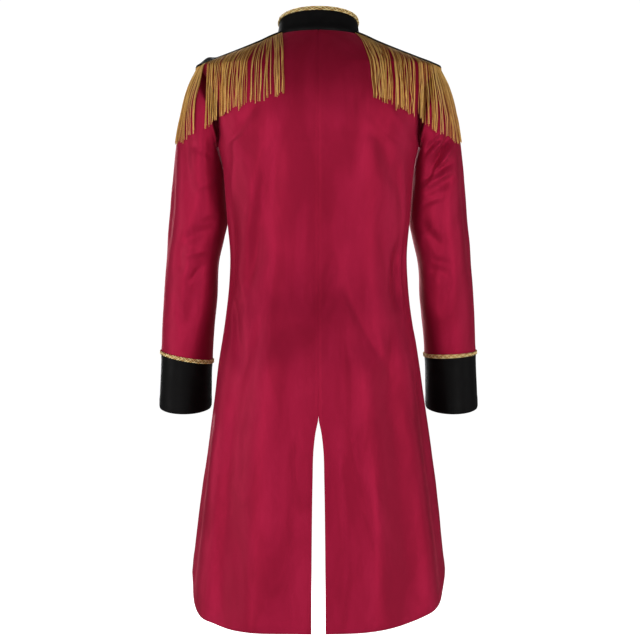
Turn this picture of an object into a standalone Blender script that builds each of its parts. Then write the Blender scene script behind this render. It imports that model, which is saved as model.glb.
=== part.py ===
"""Ringmaster tailcoat, worn and hollow, held up by its wearer's shoulders.

Frame: the origin is the centre of the neck opening, at the height where neck and
shoulder seam meet.  +X is the wearer's left, +Y the back, +Z up; metres.
Each cloth piece is a wall: an outer surface worked out from sections, with its folds,
and an inner one a cloth thickness behind it.  Seams leave SEAM_GAP between pieces.
"""
import math

import bmesh
import bpy
import numpy as np
from mathutils import Vector
from mathutils.bvhtree import BVHTree

# ---- driving dimensions, in metres --------------------------------------------------

CLOTH = 0.0018              # velvet wall
SEAM_GAP = 0.0003           # between two pieces at a seam
OVER_HALF = 0.55            # share of that gap by which each piece draws back
LIFT = 0.0004               # between a trim and the cloth it is sewn on

ARMHOLE_BOTTOM = -0.205     # height of the underarm point
SHOULDER_TIP = -0.062       # height of the shoulder seam's outer end
FRONT_AT_TIP = -0.098       # height at the centre front of the row that meets the tip
NECK_BACK = -0.003          # neck seam at the centre back
NECK_FRONT = -0.050         # neck seam at the centre front
NECK_HALF_WIDTH = 0.0745
NECK_HALF_DEPTH = 0.065
UNDERARM_FLARE = 0.006      # how far the underarm point stands out from the side
FLARE_REACH = 0.025         # height over which that flare dies out
ROUNDNESS = 0.90            # power of the body's section arcs, 1 for an ellipse

COLLAR_HALF_WIDTH = 0.0690  # at its top edge
COLLAR_HALF_DEPTH = 0.0580
COLLAR_BACK = 0.0400        # height of its top edge at the centre back
COLLAR_FRONT = -0.0120      # and at the centre front
COLLAR_PARTING = 0.0016     # between its two ends at the centre front
FRONT_PARTING = 0.0016      # between the fronts, which meet edge to edge

BRAID_HEIGHT = 0.0068
BRAID_THICKNESS = 0.0014
SLEEVE_CUT = 0.0018         # wall of sleeves and cuffs

BOARD_BACK_EDGE = 0.034     # y of the shoulder board's back edge
BOARD_FRONT_EDGE = -0.032
BOARD_END = 0.221           # x of its round outer end
BOARD_THICKNESS = 0.0028
BOARD_START_GAP = 0.0022    # from the neck seam to the board
BOARD_CLEARANCE = 0.0005    # from the cloth to the board
BOARD_ROUNDING = 0.015      # how far its end's corners lie behind its tip
BOARD_TAPER = 0.14          # share of its width lost over its last stretch
BOARD_TAPER_FROM = 0.70     # share of its length where that stretch starts
BOARD_EDGE_THINNING = 0.35  # share of its thickness lost at its long edges
OUTLINE_PLACES = 400        # along the board's outline, before strands are spread on it
CORNER_SMOOTHING = 11       # of those places, averaged to round the board's corners

HEADER_WIDTH = 0.0045       # strip that carries the fringe, round the board
HEADER_THICKNESS = 0.0016
HEADER_SLOPE = 0.4          # fall of the strip, away from the board
HEADER_CLEARANCE = 0.0008   # from the cloth to the strip
HEADER_GAP = 0.0010         # from the board's edge to the strip
BOARD_RIM = 0.0015          # how far inside the board's edge its height is read
STRANDS_A_SIDE = 76
STRAND_LENGTH = 0.140
STRAND_LENGTH_SPREAD = 0.035    # share by which lengths differ
STRAND_WIDTH = 0.0022
STRAND_TAPER = 0.35         # share of its width lost at its end
STRAND_BUNDLE = 4           # strands that lean together
STRAND_LEAN = 0.22          # of a pitch, for each place in the bundle
STRAND_JOINTS = (0.0, 0.08, 0.22, 0.52, 1.0)    # shares of its length
STRAND_CLEARANCE = 0.0023   # from the cloth to a strand's centre line
RAY_START = 0.30            # outside all the cloth, where rays that look for it start

ROWS_SKIRT = 16             # hem to underarm
ROWS_ARMHOLE = 10           # underarm to shoulder tip
ROWS_SHOULDER = 4           # shoulder tip to neck
COLUMNS_BACK = 10
COLUMNS_FRONT = 8
ROWS_CAP = 6
ROWS_SLEEVE = 14
ROWS_CUFF = 3


def table(columns, rows):
    """Named columns of a table, each as an array."""
    values = np.array(rows, dtype=float)
    return {name: values[:, i] for i, name in enumerate(columns.split())}


# Level sections of the body: half width, and y of back, side and front.
BODY = table("height half_width back side front", [
    (-1.100, 0.2345, 0.147, 0.004, -0.118),
    (-0.980, 0.2280, 0.143, 0.004, -0.118),
    (-0.880, 0.2174, 0.139, 0.004, -0.118),
    (-0.780, 0.2045, 0.134, 0.004, -0.118),
    (-0.680, 0.1915, 0.130, 0.004, -0.119),
    (-0.587, 0.1780, 0.125, 0.005, -0.120),
    (-0.520, 0.1675, 0.114, 0.008, -0.117),
    (-0.460, 0.1605, 0.102, 0.010, -0.113),
    (-0.400, 0.1580, 0.097, 0.014, -0.112),
    (-0.342, 0.1625, 0.104, 0.021, -0.117),
    (-0.270, 0.1680, 0.116, 0.024, -0.125),
    (-0.205, 0.1725, 0.1225, 0.024, -0.130),
])

# Centre lines above the underarm: how far back and front lie from the middle.
UPPER = table("share back front", [
    (0.00, 0.1225, -0.130),
    (0.30, 0.1220, -0.129),
    (0.55, 0.1160, -0.121),
    (0.72, 0.1030, -0.108),
    (0.88, 0.0840, -0.087),
    (1.00, 0.0650, -0.066),
])

# Lower edge by angle round the body: 0 centre back, 90 side, 180 centre front.
HEM = table("angle left right", [
    (0.0, -1.0600, -1.0600),
    (12.0, -1.0600, -1.0590),
    (27.0, -1.0590, -1.0530),
    (39.0, -1.0554, -1.0455),
    (50.0, -1.0480, -1.0365),
    (61.0, -1.0390, -1.0240),
    (70.0, -1.0200, -1.0080),
    (78.0, -0.9990, -0.9880),
    (90.0, -0.9620, -0.9560),
    (105.0, -0.9000, -0.8960),
    (120.0, -0.8260, -0.8240),
    (135.0, -0.7420, -0.7410),
    (150.0, -0.6560, -0.6560),
    (165.0, -0.5740, -0.5740),
    (180.0, -0.5150, -0.5150),
])

# Half width of the back vent.
VENT = table("height half_gap", [
    (-1.060, 0.0123),
    (-0.974, 0.0120),
    (-0.903, 0.0115),
    (-0.796, 0.0100),
    (-0.741, 0.0083),
    (-0.709, 0.0044),
    (-0.690, 0.0004),
    (-0.680, 0.0000),
])

# Sections from the underarm (0) up to the shoulder tip (1): half width and y of the side
# of the whole arc, and the degrees from the centre at which the armhole cuts it off.
ARMHOLE = table("share half_width side back_turn front_turn", [
    (0.00, 0.1725, 0.024, 90.0, 90.0),
    (0.06, 0.1745, 0.024, 82.0, 84.0),
    (0.27, 0.1895, 0.021, 71.0, 71.0),
    (0.50, 0.1990, 0.016, 66.0, 65.0),
    (0.70, 0.2050, 0.010, 67.5, 67.0),
    (0.88, 0.2095, 0.003, 75.5, 75.5),
    (1.00, 0.2120, 0.000, 90.0, 90.0),
])

# Shoulder seam from the tip (0) to the neck (1).
SHOULDER = table("share x z", [
    (0.00, 0.2120, -0.0620),
    (0.30, 0.1770, -0.0480),
    (0.60, 0.1330, -0.0310),
    (0.85, 0.0950, -0.0150),
    (1.00, 0.0745, -0.0050),
])

# The same line outwards, as a stiff board follows it past the tip.
SEAM_LINE = table("x z", [
    (0.050, 0.0020),
    (0.0745, -0.0050),
    (0.0950, -0.0150),
    (0.1330, -0.0310),
    (0.1770, -0.0480),
    (0.2120, -0.0610),
    (0.2300, -0.0680),
])

# Rings of sleeve and cuff: centre, half width, half depth, and the degrees by which the
# back of the ring dips and its outer side rises.  The last two rings are the cuff's.
SLEEVE = table("height x y half_width half_depth dip rise", [
    (-0.672, 0.2450, -0.082, 0.0478, 0.0520, 14.0, 0.0),
    (-0.587, 0.2412, -0.070, 0.0468, 0.0540, 9.0, 3.5),
    (-0.535, 0.2385, -0.062, 0.0475, 0.0565, 7.0, 2.0),
    (-0.480, 0.2335, -0.053, 0.0485, 0.0600, 5.0, 0.0),
    (-0.400, 0.2280, -0.041, 0.0485, 0.0640, 2.0, 0.0),
    (-0.370, 0.2233, -0.037, 0.0513, 0.0650, 0.0, 0.0),
    (-0.342, 0.2188, -0.034, 0.0533, 0.0660, 0.0, 0.0),
    (-0.300, 0.2173, -0.030, 0.0508, 0.0670, 0.0, 0.0),
    (-0.265, 0.2170, -0.026, 0.0480, 0.0680, 0.0, 0.0),
])
CAP_END = -0.265
SLEEVE_END = -0.587
CUFF_END = -0.672

# Folds of the body: a soft trough (depth below 0) or ridge along a line between two
# points, each an angle round the body and a height.  side is 1 left, -1 right, 0 both.
BODY_FOLDS = table("side angle_a height_a angle_b height_b width depth", [
    (1, 20.0, -0.200, 48.0, -0.470, 0.020, -0.0045),
    (1, 64.0, -0.470, 47.0, -0.600, 0.016, -0.0045),
    (1, 38.0, -0.270, 60.0, -0.440, 0.024, 0.0030),
    (1, 70.0, -0.330, 72.0, -0.480, 0.016, -0.0040),
    (-1, 34.0, -0.190, 55.0, -0.290, 0.018, -0.0045),
    (-1, 13.0, -0.400, 31.0, -0.600, 0.018, -0.0045),
    (-1, 60.0, -0.390, 56.0, -0.500, 0.018, -0.0050),
    (-1, 30.0, -0.300, 38.0, -0.520, 0.024, 0.0030),
    (0, 0.0, -0.150, 0.0, -0.380, 0.030, -0.0040),
    (1, 7.0, -0.720, 8.0, -1.080, 0.024, -0.0045),
    (1, 26.0, -0.560, 24.0, -1.080, 0.034, 0.0060),
    (1, 46.0, -0.640, 44.0, -1.060, 0.026, -0.0060),
    (1, 64.0, -0.560, 60.0, -1.040, 0.026, 0.0055),
    (1, 80.0, -0.620, 78.0, -1.000, 0.022, -0.0050),
    (-1, 9.0, -0.760, 8.0, -1.080, 0.024, -0.0045),
    (-1, 22.0, -0.580, 21.0, -1.070, 0.032, 0.0055),
    (-1, 39.0, -0.600, 41.0, -1.060, 0.028, -0.0060),
    (-1, 58.0, -0.560, 57.0, -1.040, 0.028, 0.0060),
    (-1, 72.0, -0.600, 71.0, -1.000, 0.022, -0.0050),
    (-1, 81.0, -0.520, 81.0, -0.900, 0.015, 0.0035),
    (1, 112.0, -0.420, 100.0, -0.780, 0.026, -0.0055),
    (-1, 114.0, -0.430, 102.0, -0.760, 0.026, -0.0055),
    (1, 136.0, -0.240, 150.0, -0.460, 0.024, 0.0045),
    (-1, 134.0, -0.250, 152.0, -0.450, 0.024, 0.0045),
    (0, 124.0, -0.520, 118.0, -0.800, 0.026, 0.0050),
    (0, 165.0, -0.300, 158.0, -0.480, 0.026, 0.0035),
])
METRES_A_DEGREE = 0.0027    # along the body, to weigh an angle against a height

# Folds of the sleeves, in the same way.  Their angle starts at the underarm and goes
# round by the back (90) and the outer side (180) to the front (270).
SLEEVE_FOLDS = table("side angle_a height_a angle_b height_b width depth", [
    (1, 128.0, -0.170, 100.0, -0.320, 0.016, -0.0050),
    (1, 82.0, -0.180, 62.0, -0.330, 0.015, 0.0040),
    (1, 48.0, -0.350, 112.0, -0.375, 0.013, -0.0050),
    (1, 118.0, -0.380, 112.0, -0.430, 0.013, -0.0045),
    (1, 70.0, -0.400, 92.0, -0.560, 0.015, -0.0050),
    (-1, 62.0, -0.255, 122.0, -0.185, 0.013, -0.0060),
    (-1, 72.0, -0.215, 128.0, -0.140, 0.012, 0.0050),
    (-1, 60.0, -0.290, 118.0, -0.262, 0.012, -0.0055),
    (-1, 45.0, -0.340, 84.0, -0.390, 0.014, -0.0050),
    (-1, 48.0, -0.425, 92.0, -0.435, 0.012, -0.0045),
    (-1, 150.0, -0.230, 152.0, -0.420, 0.014, -0.0035),
    (1, 158.0, -0.220, 160.0, -0.400, 0.014, -0.0035),
    (0, 300.0, -0.330, 240.0, -0.390, 0.016, -0.0050),
    (0, 310.0, -0.380, 250.0, -0.425, 0.014, 0.0040),
    (0, 300.0, -0.430, 235.0, -0.470, 0.016, -0.0050),
    (0, 275.0, -0.160, 310.0, -0.290, 0.016, -0.0045),
    (0, 225.0, -0.480, 262.0, -0.560, 0.018, -0.0035),
    (0, 140.0, -0.520, 100.0, -0.570, 0.016, -0.0030),
    (0, 335.0, -0.240, 335.0, -0.340, 0.018, 0.0055),
    (0, -25.0, -0.240, -25.0, -0.340, 0.018, 0.0055),
])
SLEEVE_METRES_A_DEGREE = 0.00100
FOLD_END = 0.022            # length over which a fold dies out at its ends
BODY_FOLDS_TOP = -0.095     # height above which the body has no folds
BODY_FOLDS_FADE = 0.09      # height over which they come in, below it
SLEEVE_FOLDS_START = 0.35   # share of the cap over which they come in
SLEEVE_FOLDS_STOP = 1.93    # v of sleeve_point where they have died out
SLEEVE_FOLDS_FADE = 0.2     # share of the sleeve over which they do


# ---- curves and surfaces ------------------------------------------------------------

def smooth(columns, key, name, at):
    """Value of a column at `at`: a cubic through the rows, with slopes from neighbours."""
    keys, values = columns[key], columns[name]
    slopes = np.gradient(values, keys)
    at = np.clip(np.asarray(at, dtype=float), keys[0], keys[-1])
    low = np.clip(np.searchsorted(keys, at) - 1, 0, len(keys) - 2)
    span = keys[low + 1] - keys[low]
    t = (at - keys[low]) / span
    start = values[low] * (1 + 2 * t) * (1 - t) ** 2 + slopes[low] * span * t * (1 - t) ** 2
    return start + values[low + 1] * t * t * (3 - 2 * t) - slopes[low + 1] * span * t * t * (1 - t)


def step(t):
    """Soft step from 0 to 1 while t goes from 0 to 1."""
    t = np.clip(t, 0.0, 1.0)
    return t * t * (3 - 2 * t)


def fold_height(folds, side, angle, height, metres_a_degree):
    """Sum of the folds at a point: a bell across each fold's line, faded at its ends."""
    total = np.zeros(np.broadcast(angle, height).shape)
    rows = zip(*(folds[name] for name in
                 "side angle_a height_a angle_b height_b width depth".split()))
    for fold_side, angle_a, height_a, angle_b, height_b, width, depth in rows:
        if fold_side not in (0, side):
            continue
        line = np.array([(angle_b - angle_a) * metres_a_degree, height_b - height_a])
        length = math.hypot(*line)
        along_angle, along_height = line / length
        away_angle = (angle - angle_a) * metres_a_degree
        away_height = height - height_a
        along = away_angle * along_angle + away_height * along_height
        across = away_angle * along_height - away_height * along_angle
        ends = step(along / FOLD_END + 0.5) * step((length - along) / FOLD_END + 0.5)
        total = total + depth * np.exp(-(across / width) ** 2) * ends
    return total


def body_point(side, face, v, u):
    """Body's outer surface.  face is 1 for the back and -1 for the front; u goes from the
    centre (0) to the outer edge (1); v from the hem (0) to the underarm (1), up the
    armhole to the shoulder tip (2) and along the shoulder seam to the neck (3)."""
    u, v = np.broadcast_arrays(np.asarray(u, dtype=float), np.asarray(v, dtype=float))
    centre = "back" if face > 0 else "front"

    # below the underarm: level arcs from the centre to the side
    turn = u * 90.0
    angle = turn if face > 0 else 180.0 - turn
    hem = smooth(HEM, "angle", "left" if side > 0 else "right", angle)
    height = hem + (ARMHOLE_BOTTOM - hem) * np.clip(v, 0, 1)
    half_width = smooth(BODY, "height", "half_width", height)
    side_y = smooth(BODY, "height", "side", height)
    centre_y = smooth(BODY, "height", centre, height)
    arc_x = np.sin(np.radians(turn)) ** ROUNDNESS
    arc_y = np.clip(np.cos(np.radians(turn)), 0, 1) ** ROUNDNESS
    parting = smooth(VENT, "height", "half_gap", height) if face > 0 else 0.0
    flare = UNDERARM_FLARE * np.exp(-((height - ARMHOLE_BOTTOM) / FLARE_REACH) ** 2)
    low_x = parting + (half_width - parting) * arc_x + flare * arc_x ** 6
    low_y = side_y + (centre_y - side_y) * arc_y

    # above it: rows from the centre line to the armhole, then to the shoulder seam
    climb = np.sin(np.radians(90.0) * np.clip(v - 1, 0, 1))
    top = np.clip(v - 2, 0, 1)
    tip_row = SHOULDER_TIP if face > 0 else FRONT_AT_TIP
    neck_row = NECK_BACK if face > 0 else NECK_FRONT
    centre_z = np.where(v < 2, ARMHOLE_BOTTOM + (tip_row - ARMHOLE_BOTTOM) * climb,
                        tip_row + (neck_row - tip_row) * top)
    edge_z = np.where(v < 2, ARMHOLE_BOTTOM + (SHOULDER_TIP - ARMHOLE_BOTTOM) * climb,
                      smooth(SHOULDER, "share", "z", top))
    share = (centre_z - ARMHOLE_BOTTOM) / (neck_row - ARMHOLE_BOTTOM)
    centre_y = smooth(UPPER, "share", centre, share)
    half_width = np.where(v < 2, smooth(ARMHOLE, "share", "half_width", climb),
                          smooth(SHOULDER, "share", "x", top))
    side_y = smooth(ARMHOLE, "share", "side", climb)
    last = smooth(ARMHOLE, "share", "back_turn" if face > 0 else "front_turn", climb)
    turn = np.radians(u * last)
    power = ROUNDNESS + (1 - ROUNDNESS) * top
    row_x = np.sin(turn) ** power
    row_y = np.clip(np.cos(turn), 0, 1) ** power
    flare = UNDERARM_FLARE * step(1 - climb / 0.3)
    high_x = half_width * row_x + flare * row_x ** 6
    high_y = side_y + (centre_y - side_y) * row_y
    high_z = centre_z + (edge_z - centre_z) * step(u)

    lower = v <= 1
    x = np.where(lower, low_x, high_x)
    y = np.where(lower, low_y, high_y)
    z = np.where(lower, height, high_z)
    return np.stack([x, y, z], axis=-1)


def body_surface(side, face, v, u):
    """body_point with the folds of one side, still on the left half."""
    points = body_point(side, face, v, u)
    edge = 1e-4
    along_u = body_point(side, face, v, np.clip(u + edge, 0, 1)) - \
        body_point(side, face, v, np.clip(u - edge, 0, 1))
    along_v = body_point(side, face, np.clip(v + edge, 0, 3), u) - \
        body_point(side, face, np.clip(v - edge, 0, 3), u)
    normal = unit(np.cross(along_u, along_v)) * -face
    turn = np.broadcast_to(u * 90.0, points.shape[:-1])
    angle = turn if face > 0 else 180.0 - turn
    rise = fold_height(BODY_FOLDS, side, angle, points[..., 2], METRES_A_DEGREE)
    rise = rise * step((BODY_FOLDS_TOP - points[..., 2]) / BODY_FOLDS_FADE)
    return points + normal * rise[..., None]


def unit(vectors):
    """Vectors scaled to length 1."""
    return vectors / np.maximum(np.linalg.norm(vectors, axis=-1, keepdims=True), 1e-12)


def armhole_point(s):
    """Armhole seam once round: 0 underarm, 0.25 back, 0.5 shoulder tip, 0.75 front."""
    s = np.asarray(s, dtype=float) % 1.0
    back = body_point(1, 1, 1 + np.clip(2 * s, 0, 1), 1.0)
    front = body_point(1, -1, 1 + np.clip(2 - 2 * s, 0, 1), 1.0)
    return np.where((s <= 0.5)[..., None], back, front)


def ring_point(height, s):
    """Sleeve or cuff ring at a nominal height, tilted as its table says."""
    row = {name: smooth(SLEEVE, "height", name, height) for name in SLEEVE}
    x = -row["half_width"] * np.cos(2 * np.pi * s)
    y = row["half_depth"] * np.sin(2 * np.pi * s)
    z = height - y * np.tan(np.radians(row["dip"])) + x * np.tan(np.radians(row["rise"]))
    return np.stack([row["x"] + x, row["y"] + y, z + 0 * s], axis=-1)


def sleeve_point(v, s):
    """Sleeve's outer surface.  v goes from the armhole (0) to the end of the cap (1), the
    cuff seam (2) and the cuff's edge (3); s once round as in armhole_point."""
    v, s = np.broadcast_arrays(np.asarray(v, dtype=float), np.asarray(s, dtype=float))
    start = armhole_point(s)
    goal = ring_point(CAP_END, s)
    reach = np.linalg.norm(goal - start, axis=-1, keepdims=True)
    low = 0.5 + 0.5 * np.cos(2 * np.pi * s)
    out = np.stack([0.85 + 0 * s, 0.30 * np.sin(2 * np.pi * s), -0.50 + 0.20 * low], axis=-1)
    leave = out * (0.35 * reach + 0.010 + 0.014 * low[..., None])
    arrive = np.stack([0.05 + 0 * s, -0.08 + 0 * s, -1.0 + 0 * s], axis=-1) * reach
    t = np.clip(v, 0, 1)[..., None]
    cap = (start * (1 + 2 * t) * (1 - t) ** 2 + leave * t * (1 - t) ** 2
           + goal * t * t * (3 - 2 * t) - arrive * t * t * (1 - t))
    height = np.where(v < 2, CAP_END + (SLEEVE_END - CAP_END) * (v - 1),
                      SLEEVE_END + (CUFF_END - SLEEVE_END) * (v - 2))
    return np.where((v < 1)[..., None], cap, ring_point(height, s))


def sleeve_surface(side, v, s):
    """sleeve_point with its folds, which fade out at the armhole and the cuff."""
    v, s = np.broadcast_arrays(np.asarray(v, dtype=float), np.asarray(s, dtype=float))
    points = sleeve_point(v, s)
    edge = 1e-4
    around = sleeve_point(v, s + edge) - sleeve_point(v, s - edge)
    down = sleeve_point(np.clip(v + edge, 0, 3), s) - sleeve_point(np.clip(v - edge, 0, 3), s)
    normal = unit(np.cross(around, down))
    height = points[..., 2]
    rise = fold_height(SLEEVE_FOLDS, side, s * 360.0, height, SLEEVE_METRES_A_DEGREE)
    rise = rise * step(v / SLEEVE_FOLDS_START)
    rise = rise * step((SLEEVE_FOLDS_STOP - v) / SLEEVE_FOLDS_FADE)
    return points + normal * rise[..., None]


def neck_point(angle):
    """Neck seam by angle round the neck: 0 centre back, 90 left side, 180 centre front."""
    angle = np.abs(np.asarray(angle, dtype=float))
    back = body_point(1, 1, 3.0, np.clip(angle, 0, 90) / 90.0)
    front = body_point(1, -1, 3.0, np.clip(180.0 - angle, 0, 90) / 90.0)
    return np.where((angle <= 90)[..., None], back, front)


def collar_point(angle, rise):
    """Standing collar: from the neck seam (rise 0) to its top edge (rise 1)."""
    angle, rise = np.broadcast_arrays(np.asarray(angle, dtype=float), np.asarray(rise, dtype=float))
    foot = neck_point(angle)
    turn = np.radians(np.abs(angle))
    tilt = (0.5 + 0.5 * np.cos(turn)) ** 0.8
    top = np.stack([COLLAR_HALF_WIDTH * np.sin(turn), COLLAR_HALF_DEPTH * np.cos(turn),
                    COLLAR_FRONT + (COLLAR_BACK - COLLAR_FRONT) * tilt], axis=-1)
    points = foot + (top - foot) * rise[..., None]
    points[..., 0] += (step(rise) - rise) * 0.004 * np.sin(turn)
    points[..., 0] *= np.where(angle < 0, -1.0, 1.0)
    return points


# ---- walls --------------------------------------------------------------------------

def grid_normals(grid, wrap):
    """Outward normals of a grid's points (rows, columns), each the mean of its faces."""
    closed = np.concatenate([grid, grid[:, :1]], axis=1) if wrap else grid
    diagonal_a = closed[1:, 1:] - closed[:-1, :-1]
    diagonal_b = closed[1:, :-1] - closed[:-1, 1:]
    face = np.cross(diagonal_a, diagonal_b)
    total = np.zeros_like(closed)
    total[:-1, :-1] += face
    total[1:, :-1] += face
    total[:-1, 1:] += face
    total[1:, 1:] += face
    if wrap:
        total[:, 0] += total[:, -1]
        total = total[:, :-1]
    return total


def shared_normals(grids, inside_out):
    """Normals of several grids, added up where their points coincide, so that two walls
    that meet at a seam have one rim direction there.  inside_out names the grids whose
    rows and columns run the other way round."""
    normals = {name: unit(grid_normals(grid, wrap)) * (-1 if name in inside_out else 1)
               for name, (grid, wrap) in grids.items()}
    at_place = {}
    for name, (grid, _) in grids.items():
        keys = np.round(grid.reshape(-1, 3) / 2e-6).astype(int)
        for key, normal in zip(map(tuple, keys), normals[name].reshape(-1, 3)):
            at_place[key] = at_place.get(key, 0) + normal
    for name, (grid, _) in grids.items():
        keys = np.round(grid.reshape(-1, 3) / 2e-6).astype(int)
        summed = np.array([at_place[tuple(key)] for key in keys]).reshape(grid.shape)
        normals[name] = unit(summed)
    return normals


def edge_shift(edge, within, normal, wrap=False):
    """Shift off a seam, square to it and in the surface, for the points along it."""
    ahead = np.roll(edge, -1, axis=0) - np.roll(edge, 1, axis=0) if wrap else np.gradient(edge, axis=0)
    inwards = unit(np.cross(normal, ahead))
    inwards *= np.sign(np.sum(inwards * (within - edge), axis=1, keepdims=True))
    return inwards * SEAM_GAP * OVER_HALF


def drawn_back(grid, normal, wrap, top, bottom, corners):
    """Shift of each point of a grid that opens the gaps along its seams: its first row
    (top) or last (bottom), its first column, and its last column between `corners`."""
    shift = np.zeros_like(grid)
    if top:
        shift[0] += edge_shift(grid[0], grid[1], normal[0], wrap)
    if bottom:
        shift[-1] += edge_shift(grid[-1], grid[-2], normal[-1], wrap)
    if not wrap:
        shift[:, 0] += edge_shift(grid[:, 0], grid[:, 1], normal[:, 0])
        for start, end in zip(corners[:-1], corners[1:]):
            part = slice(start, end + 1)
            shift[part, -1] += edge_shift(grid[part, -1], grid[part, -2], normal[part, -1])
    return shift


def wall_mesh(outer, inner, wrap):
    """Vertices and faces of the closed wall between two grids of the same shape."""
    rows, columns = outer.shape[:2]
    vertices = np.concatenate([outer.reshape(-1, 3), inner.reshape(-1, 3)])
    half = rows * columns
    faces = []
    last = columns if wrap else columns - 1
    for i in range(rows - 1):
        for j in range(last):
            a, b = i * columns + j, i * columns + (j + 1) % columns
            c, d = b + columns, a + columns
            faces += [(a, b, c, d), (half + d, half + c, half + b, half + a)]
    for row in (0, rows - 1):
        for j in range(last):
            a, b = row * columns + j, row * columns + (j + 1) % columns
            faces.append((b, a, half + a, half + b) if row == 0 else (a, b, half + b, half + a))
    if not wrap:
        for column in (0, columns - 1):
            for i in range(rows - 1):
                a, b = i * columns + column, (i + 1) * columns + column
                faces.append((a, b, half + b, half + a) if column == 0 else (b, a, half + a, half + b))
    return vertices, faces


def material(name, colour, roughness, metallic=0.0):
    """Plain principled material."""
    made = bpy.data.materials.new(name)
    made.use_nodes = True
    shader = made.node_tree.nodes["Principled BSDF"]
    shader.inputs["Base Color"].default_value = (*colour, 1.0)
    shader.inputs["Roughness"].default_value = roughness
    shader.inputs["Metallic"].default_value = metallic
    return made


def add_piece(name, vertices, faces, surface, side=1):
    """Object from vertices and faces; side -1 mirrors it to the wearer's right."""
    vertices = np.array(vertices, dtype=float)
    vertices[:, 0] *= side
    mesh = bpy.data.meshes.new(name)
    mesh.from_pydata([tuple(vertex) for vertex in vertices], [], faces)
    work = bmesh.new()
    work.from_mesh(mesh)
    bmesh.ops.triangulate(work, faces=work.faces)
    bmesh.ops.recalc_face_normals(work, faces=work.faces)
    work.to_mesh(mesh)
    work.free()
    mesh.shade_smooth()
    mesh.set_sharp_from_angle(angle=math.radians(50))
    mesh.materials.append(surface)
    piece = bpy.data.objects.new(name, mesh)
    bpy.context.scene.collection.objects.link(piece)
    return piece


# ---- pieces -------------------------------------------------------------------------

def body_grid(side, face, columns):
    """Grid of one back or front: rows from the hem to the neck."""
    rows = np.concatenate([
        np.linspace(0, 1, ROWS_SKIRT + 1),
        1 + np.linspace(0, 1, ROWS_ARMHOLE + 1)[1:],
        2 + np.linspace(0, 1, ROWS_SHOULDER + 1)[1:]])
    across = np.linspace(0, 1, columns + 1)
    return body_surface(side, face, rows[:, None], across[None, :])


def sleeve_grid(side):
    """Grid of one sleeve: rows from the armhole to the cuff seam, columns once round."""
    rows = np.concatenate([
        np.linspace(0, 1, ROWS_CAP + 1),
        1 + np.linspace(0, 1, ROWS_SLEEVE + 1)[1:]])
    around = np.arange(2 * ROWS_ARMHOLE) / (2 * ROWS_ARMHOLE)
    return sleeve_surface(side, rows[:, None], around[None, :])


def cuff_grid():
    """Grid of one cuff: rows from its seam to its edge."""
    rows = 2 + np.linspace(0, 1, ROWS_CUFF + 1)
    around = np.arange(2 * ROWS_ARMHOLE) / (2 * ROWS_ARMHOLE)
    return sleeve_point(rows[:, None], around[None, :])


def collar_angles():
    """Angles of the collar's columns, which meet the body's columns at the neck seam."""
    back = np.linspace(0, 90, COLUMNS_BACK + 1)
    front = np.linspace(90, 180, COLUMNS_FRONT + 1)[1:]
    half = np.concatenate([back, front])
    return np.concatenate([-half[:0:-1], half])


def opened_ends(grid, parting):
    """Collar or braid grid with its two ends parted at the centre front."""
    opened = grid.copy()
    opened[:, -1, 0] = parting / 2
    opened[:, 0, 0] = -parting / 2
    return opened


def make_cloth(surfaces):
    """All cloth walls.  Gives back their outer grids, for what lies on them."""
    covers = {}
    for side, word in ((1, "left"), (-1, "right")):
        grids = {
            "back": (body_grid(side, 1, COLUMNS_BACK), False),
            "front": (body_grid(side, -1, COLUMNS_FRONT), False),
            "sleeve": (sleeve_grid(side), True),
            "cuff": (cuff_grid(), True),
        }
        other_half = {name + "_mirrored": (grids[name][0] * (-1, 1, 1), False)
                      for name in ("back", "front")}
        collar = collar_point(collar_angles()[None, :], np.linspace(0, 1, 4)[:, None])
        normals = shared_normals({**grids, **other_half, "collar": (collar, False)},
                                 inside_out=("back", "front_mirrored", "collar"))
        corners = np.cumsum([0, ROWS_SKIRT, ROWS_ARMHOLE, ROWS_SHOULDER])
        for name, (grid, wrap) in grids.items():
            shift = drawn_back(grid, normals[name], wrap, wrap, name != "cuff", corners)
            if name == "front":
                shift[:, 0, 0] = FRONT_PARTING / 2
            outer = grid + shift
            thickness = SLEEVE_CUT if wrap else CLOTH
            vertices, faces = wall_mesh(outer, outer - normals[name] * thickness, wrap)
            cloth = surfaces["black"] if name == "cuff" else surfaces["velvet"]
            add_piece(f"{name}_{word}", vertices, faces, cloth, side)
            covers[name, side] = (outer, normals[name], wrap)
        covers["collar", side] = (collar, normals["collar"], False)
    collar, away, _ = covers["collar", 1]
    outer = collar.copy()
    outer[0] += edge_shift(collar[0], collar[1], away[0])
    vertices, faces = wall_mesh(opened_ends(outer, COLLAR_PARTING),
                                opened_ends(outer - away * CLOTH, COLLAR_PARTING), False)
    add_piece("collar", vertices, faces, surfaces["black"])
    return covers


def make_collar_braid(covers, surfaces):
    """Braid along the collar's top edge, on the facets of the collar's own grid."""
    collar, away, _ = covers["collar", 1]
    below, edge = collar[-2], collar[-1]
    drop = BRAID_HEIGHT / np.linalg.norm(edge - below, axis=-1, keepdims=True)
    rows = np.stack([edge + (below - edge) * drop, edge])
    normal = np.stack([away[-2], away[-1]])
    inner = rows + normal * LIFT
    outer = rows + normal * (LIFT + BRAID_THICKNESS)
    vertices, faces = wall_mesh(opened_ends(outer, COLLAR_PARTING),
                                opened_ends(inner, COLLAR_PARTING), False)
    add_piece("collar_braid", vertices, faces, surfaces["gold"])


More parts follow.
